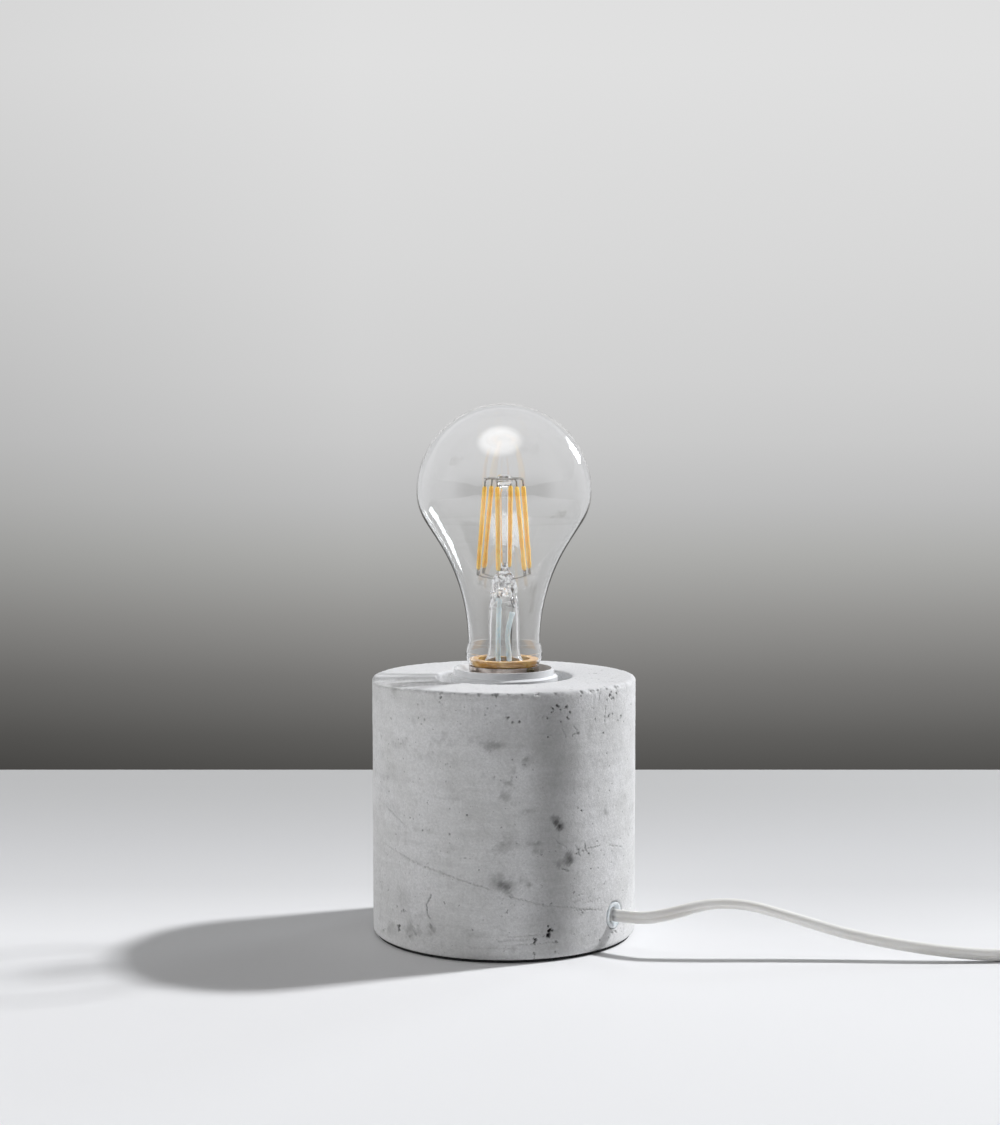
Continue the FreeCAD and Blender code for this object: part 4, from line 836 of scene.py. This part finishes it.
def press(places, marks, push):
    """Press the marks into push, and give the stain and painted shade of each corner."""
    # Marks broader than this are the painted shades: they have no ripple and their darkness adds up
    broad = 8.0
    stain_and_shade = np.zeros(len(places))
    for spot, radius, depth, steep, dark in marks:
        away = np.sqrt(((places - np.array(spot)) ** 2).sum(1)) / radius
        inside = away < 1.25
        uneven = 0.22 if radius < broad else 0.0
        rough = 1 + uneven * np.sin(places[inside][:, 2] * 4.1 + places[inside][:, 0] * 5.3)
        shape = np.clip(1 - (away[inside] * rough) ** 2, 0, 1)
        push[inside] -= depth * shape ** steep
        sharp = 1.6 if depth > 0.05 else 1.0
        cover = dark * np.clip(shape * sharp, 0, 1)
        if radius > broad:
            stain_and_shade[inside] += cover
        else:
            stain_and_shade[inside] = np.maximum(stain_and_shade[inside], cover)
    return stain_and_shade


def make_body(paint):
    """The cast body with its waves, marks, stains and painted shade."""
    body = even_body()
    mesh = body.data
    marks = body_marks()
    refine(mesh, marks)
    places = corners_of(mesh)
    normals = np.empty(len(mesh.vertices) * 3)
    mesh.vertex_normals.foreach_get("vector", normals)
    push = waves(places)
    stain_and_shade = press(places, marks, push)
    places += normals.reshape(-1, 3) * push[:, None]
    mesh.vertices.foreach_set("co", (places * MM).ravel())
    # Stains and painted shade of each corner, which the concrete's colour reads
    layer = mesh.attributes.new("stain_and_shade", "FLOAT", "POINT")
    layer.data.foreach_set("value", stain_and_shade.astype(np.float32))
    mesh.update()
    shade_smooth(mesh)
    finish_piece(body, "root", paint, "concrete", "concrete_body")


def make_bush():
    """Thin plastic bush in the cord's hole, with an uneven lip."""
    outline = [(2.75, 28.0), (4.35, 28.0), (4.95, 47.5), (5.0, 49.2), (4.85, 49.75), (4.4, 49.9),
               (3.7, 49.8), (3.1, 49.4), (2.85, 48.4), (2.75, 42.0)]

    def chip(turn, radius, height):
        return 0.12 * math.sin(5 * turn + 1.3) * (height > 49) - 0.08 * (math.cos(turn * 3) > 0.6)

    bush = lathe("bush", outline, 96, chip, closed=True)
    way = around(1, HOLE_TURN, 0)
    side = Vector((-way.y, way.x, 0))
    for vertex in bush.data.vertices:
        p = vertex.co / MM
        vertex.co = (way * p.z + side * p.y + Vector((0, 0, HOLE_HEIGHT - p.x))) * MM
    paint = Paint("bush_plastic", IOR=1.46, Subsurface_Weight=0.8,
                  Subsurface_Radius=(0.002, 0.0021, 0.0022), Subsurface_Scale=1.0)
    cloud = paint.noise(2.5, 3)
    paint.tones(cloud, (198, 205, 209), (228, 233, 236))
    paint.roughen(cloud, 0.18, 0.34)
    paint.bump(paint.noise(1.3, 3), 0.08)
    finish_piece(bush, "root", paint.material, "bush_plastic", "cable_bush")


# bulb
def make_filaments():
    """Six filaments with metal tabs at their ends, the wires that carry them and the ring on top."""
    paint = Paint("phosphor", IOR=1.42, Roughness=0.34, Subsurface_Weight=0.7,
                  Subsurface_Radius=(0.0016, 0.0011, 0.0005), Subsurface_Scale=1.0)
    paint.tones(paint.noise(2.5, 3), (255, 196, 92), (255, 216, 132))
    paint.bump(paint.noise(0.9, 3), 0.03)
    wire = metal("support_metal", rgb(172, 169, 164), 0.3, (1, 1, 4))
    strip = [(0.55, 0.14), (-0.55, 0.14), (-0.55, -0.14), (0.55, -0.14)]
    strands, tabs, uppers, lowers = [], [], [], []
    for place in range(6):
        low_turn = math.radians(18 + 60 * place)
        top_turn = math.radians(10 + 60 * place)
        low = around(10.2, low_turn, COLLAR_TOP + 36.7)
        top = around(7.4, top_turn, COLLAR_TOP + 68)
        way = (top - low).normalized()
        length = (top - low).length
        steps = [0, 0.3, 0.8, 2, length * 0.3, length * 0.6, length - 2, length - 0.8, length - 0.3, length]
        sizes = [0.45, 0.8, 1, 1.06, 1.0, 1.05, 1.06, 1, 0.8, 0.45]
        strands.append(sweep("strand", [low + way * s for s in steps], ring_outline(0.86, 14),
                             grow=lambda run, s=steps, z=sizes: float(np.interp(run, s, z))))
        for end, inward in ((low, -way), (top, way)):
            tabs.append(sweep("tab", [end + inward * run for run in (-0.2, 1.5, 2.3)], strip,
                              lean=lambda run, a=low_turn: math.degrees(a)))
        press = around(3.6, low_turn, COLLAR_TOP + 33)
        foot = low - way * 1.7
        bend = [press, press.lerp(foot, 0.35) + Vector((0, 0, -0.3)),
                press.lerp(foot, 0.85) + Vector((0, 0, -0.5)), foot - way * 0.3, foot + way * 0.8]
        lowers.append(sweep("lower", spline_points(bend, 6), ring_outline(0.22, 8)))
        crown = around(3.6, top_turn, COLLAR_TOP + 70.6)
        head = top + way * 2.2
        bend = [head - way * 0.9, head + way * 0.2, head.lerp(crown, 0.5) + Vector((0, 0, 0.5)), crown]
        uppers.append(sweep("upper", spline_points(bend, 6), ring_outline(0.24, 8)))
    ring = [around(7.3, turn, COLLAR_TOP + 70.9) for turn in np.linspace(0, 2 * math.pi, 49)]
    uppers.append(sweep("upper_ring", ring, ring_outline(0.27, 8), caps=False))
    finish_piece(join_pieces("filament_strands", strands), "bulb", paint.material, "phosphor",
                 "led_filaments")
    finish_piece(join_pieces("filament_tabs", tabs), "bulb", wire, "support_metal")
    finish_piece(join_pieces("upper_wires", uppers), "bulb", wire, "support_metal", "upper_supports")
    finish_piece(join_pieces("lower_wires", lowers), "bulb", wire, "support_metal", "lower_supports")


def make_stem():
    """Flared glass tube, its crumpled press, the thin centre rod and the crown on it."""
    flare = [(9.5, -1), (10.5, -1), (8.2, 1), (6.4, 3), (6, 6), (5.9, 14), (5.8, 21)]
    press = [(5.8, 21.5), (5.4, 24.5), (4.9, 27), (4.7, 30), (4.2, 33.5), (2.6, 35.5), (1.7, 37), (1.5, 39)]
    rod = [(1.5, 50), (1.5, 62)]
    crown = [(1.5, 66), (1.7, 68), (2.6, 69), (3.4, 70), (3.2, 71.5), (1.8, 72.3), (0, 72.5)]
    hollow_top = [(0, 29.2), (2.6, 28.4)]
    hollow = [(3.8, 26.6), (4.7, 22), (5, 10), (5.2, 4), (7.2, 1.4), (9.5, -1)]
    outline = (smooth_line(flare) + smooth_line(press) + rod + smooth_line(crown) + hollow_top
               + smooth_line(hollow)[:-1])
    press_middle, press_half, rod_radius = 29.5, 6.5, 2

    def crumple(turn, radius, height):
        rise = height - COLLAR_TOP
        share = max(0.0, 1 - abs(rise - press_middle) / press_half)
        if radius < rod_radius or share <= 0:
            return 0.0
        spot = around(1, turn, rise / 5)
        return share * (1.4 * noise.noise(spot * 2.3) + 0.8 * noise.noise(spot * 5.1))

    stem = lathe("stem_glass", [(radius, COLLAR_TOP + rise) for radius, rise in outline], 72, crumple,
                 closed=True)
    finish_piece(stem, "bulb", glass("stem_glass", 1.24, 0.985, 0.25), "stem_glass", "glass_stem")
    stem.data.materials.append(glass("press_glass", 1.5, 0.95, 0.3, 2.2))
    for face in stem.data.polygons:
        rise = face.center.z / MM - COLLAR_TOP
        face.material_index = int(22 < rise < 40 or rise > 66)


def make_leads():
    """Two sleeved leads that rise inside the stem."""
    left = [(-2.2, -1.5, -2), (-2.3, -1.6, 8), (-2.0, -1.6, 17), (-1.7, -1.2, 25.6)]
    right = [(2.2, -1.0, -2), (1.7, -1.2, 6), (1.2, -1.4, 12), (2.3, -1.4, 17), (3.1, -1.2, 20.5)]
    sleeves, wires = [], []
    for route in (left, right):
        line = spline_points([(x, y, COLLAR_TOP + rise) for x, y, rise in route], 8)
        sleeves.append(sweep("sleeve", line, ring_outline(0.95, 14)))
        end = line[-1]
        way = (line[-1] - line[-3]).normalized()
        wires.append(sweep("lead", [line[0] - Vector((0, 0, 3.5)), line[0], end, end + way * 1.6,
                                    Vector((end.x * 0.8, end.y * 0.8, COLLAR_TOP + 30.5))],
                           ring_outline(0.3, 8)))
    paint = Paint("sleeve_white", IOR=1.45, Subsurface_Weight=0.9,
                  Subsurface_Radius=(0.002, 0.0023, 0.0026), Subsurface_Scale=1.0)
    weave = paint.noise(1.2, 4)
    paint.tones(weave, (222, 240, 249), (236, 247, 252))
    paint.roughen(weave, 0.45, 0.6)
    paint.bump(paint.noise(0.5, 3), 0.02)
    finish_piece(join_pieces("sleeves", sleeves), "bulb", paint.material, "sleeve_white", "lead_sleeves")
    wire = metal("lead_metal", rgb(96, 92, 88), 0.35, (1, 1, 4))
    finish_piece(join_pieces("leads", wires), "bulb", wire, "support_metal", "lead_wires")


def make_solder():
    """Dull blob of solder where the side lead meets the collar."""
    outline = [(0.02, -1.1), (0.9, -0.95), (1.6, -0.4), (1.75, 0.1), (1.4, 0.7), (0.7, 1.05), (0.02, 1.1)]
    centre = Vector((9.6, -9.6, COLLAR_TOP - 1.2))

    def lump(turn, radius, height):
        spot = around(1, turn, height)
        return radius * (0.35 * noise.noise(spot * 1.7) + 0.3 * noise.noise(spot * 4.3))

    blob = lathe("solder", outline, 40, lump)
    for vertex in blob.data.vertices:
        p = vertex.co / MM
        vertex.co = (Vector((p.x * 1.25, p.z * 0.6, p.y * 0.75)) + centre) * MM
    finish_piece(blob, "bulb", metal("solder", rgb(98, 90, 72), 0.3, (1, 1, 1), 0.4), "zinc_steel")


# finish of the CAD pieces
def cad_paints():
    """A procedural material for each CAD node that stays."""
    cap = Paint("cap_metal", Metallic=1.0)
    cap.tones(cap.noise(4, 4), (160, 148, 140), (204, 196, 190))
    cap.roughen(cap.noise(1.6, 4, 0.6), 0.1, 0.24)
    cap.bump(cap.noise(5, 2), 0.05)
    cement = Paint("cement", IOR=1.5, Roughness=0.22)
    # Amber tones; the palest stop, scattered by noise, is a painted highlight
    cement.set("Base Color", cement.ramp(cement.noise(3.5, 4), (0.3, (168, 116, 34)), (0.5, (214, 156, 60)),
                                         (0.7, (240, 200, 118))))
    cement.bump(cement.noise(2.4, 3), 0.12)
    pad = Paint("foam_pad", Roughness=0.95)
    pad.tones(pad.noise(1.2, 4), (30, 30, 31), (52, 52, 53))
    pad.bump(pad.cells(0.8), 0.12)
    ceramic = Paint("insert_ceramic", IOR=1.5, Roughness=0.3)
    ceramic.tones(ceramic.noise(5, 4), (226, 224, 218), (240, 239, 235))
    ceramic.bump(ceramic.noise(0.7, 3), 0.04)
    board = Paint("board", IOR=1.5, Roughness=0.4)
    board.set("Base Color", board.ramp(board.cells(2.2), (0.2, (20, 78, 44)), (0.6, (34, 104, 60))))
    board.bump(board.noise(0.5, 2), 0.03)
    holder = Paint("holder_plastic", IOR=1.5)
    holder.tones(holder.noise(16, 3), (232, 233, 235), (241, 242, 244))
    holder.roughen(holder.noise(4, 3), 0.16, 0.26)
    holder.bump(holder.noise(0.7, 3), 0.012)
    finishes = (
        (pad.material, "base_pad"),
        (plastic("anchor_plastic", rgb(214, 214, 210), 0.95, 0.4), "anchor_block", "anchor_plate"),
        (metal("zinc_steel", rgb(186, 188, 190), 0.3), "anchor_screws", "threaded_tube", "upper_washer",
         "lower_washer", "lock_nut", "terminal_screws", "cap_contact", "switch_screws",
         "switch_terminal_screws"),
        (metal("brass", rgb(202, 170, 98), 0.26), "centre_contact", "side_contact", "terminal_blocks",
         "switch_terminals", "switch_contacts"),
        (plastic("core_brown", rgb(112, 62, 34), 0.9, 0.4), "live_wire", "switch_wires"),
        (plastic("core_blue", rgb(44, 94, 168), 0.9, 0.4), "neutral_wire"),
        (holder.material, "holder_dome", "holder_skirt"),
        (ceramic.material, "holder_insert"),
        (cap.material, "cap_shell"),
        (cement.material, "cap_cement"),
        (plastic("black_glass", rgb(24, 24, 28), 0.8, 0.12), "cap_insulator"),
        (glass("clear_glass", 1.36, 0.985, 0.04, 12, 0.7), "glass_envelope"),
        (board.material, "driver_board"),
        (plastic("driver_black", rgb(34, 34, 36), 0.8, 0.3), "driver_parts"),
        (plastic("switch_plastic", rgb(230, 230, 228), 0.97, 0.3), "switch_base", "switch_cover"),
        (plastic("rocker_plastic", rgb(220, 220, 218), 0.96, 0.24), "switch_rocker"),
        (plastic("plug_rubber", rgb(228, 228, 225), 0.96, 0.42, 0.03), "plug_body", "plug_sleeve"),
        (metal("pin_metal", rgb(206, 206, 208), 0.18, (12, 1, 1)), "plug_pins"),
        (plastic("pin_sleeve", rgb(40, 40, 42), 0.85, 0.4), "plug_pin_sleeves"),
        (plastic("tie_plastic", rgb(46, 46, 48), 0.85, 0.38), "coil_tie"))
    for paint, *names in finishes:
        for name in names:
            piece = nodes[name]
            if not piece.material_slots:
                piece.data.materials.append(paint)
            for slot in piece.material_slots:
                slot.material = paint


bpy.context.scene.view_settings.view_transform = "Standard"
make_camera()
make_cords(cord_paint())
make_table()
make_wall()
make_world()
make_lamps()
make_body(concrete_paint())
make_bush()
make_filaments()
make_stem()
make_leads()
make_solder()
cad_paints()
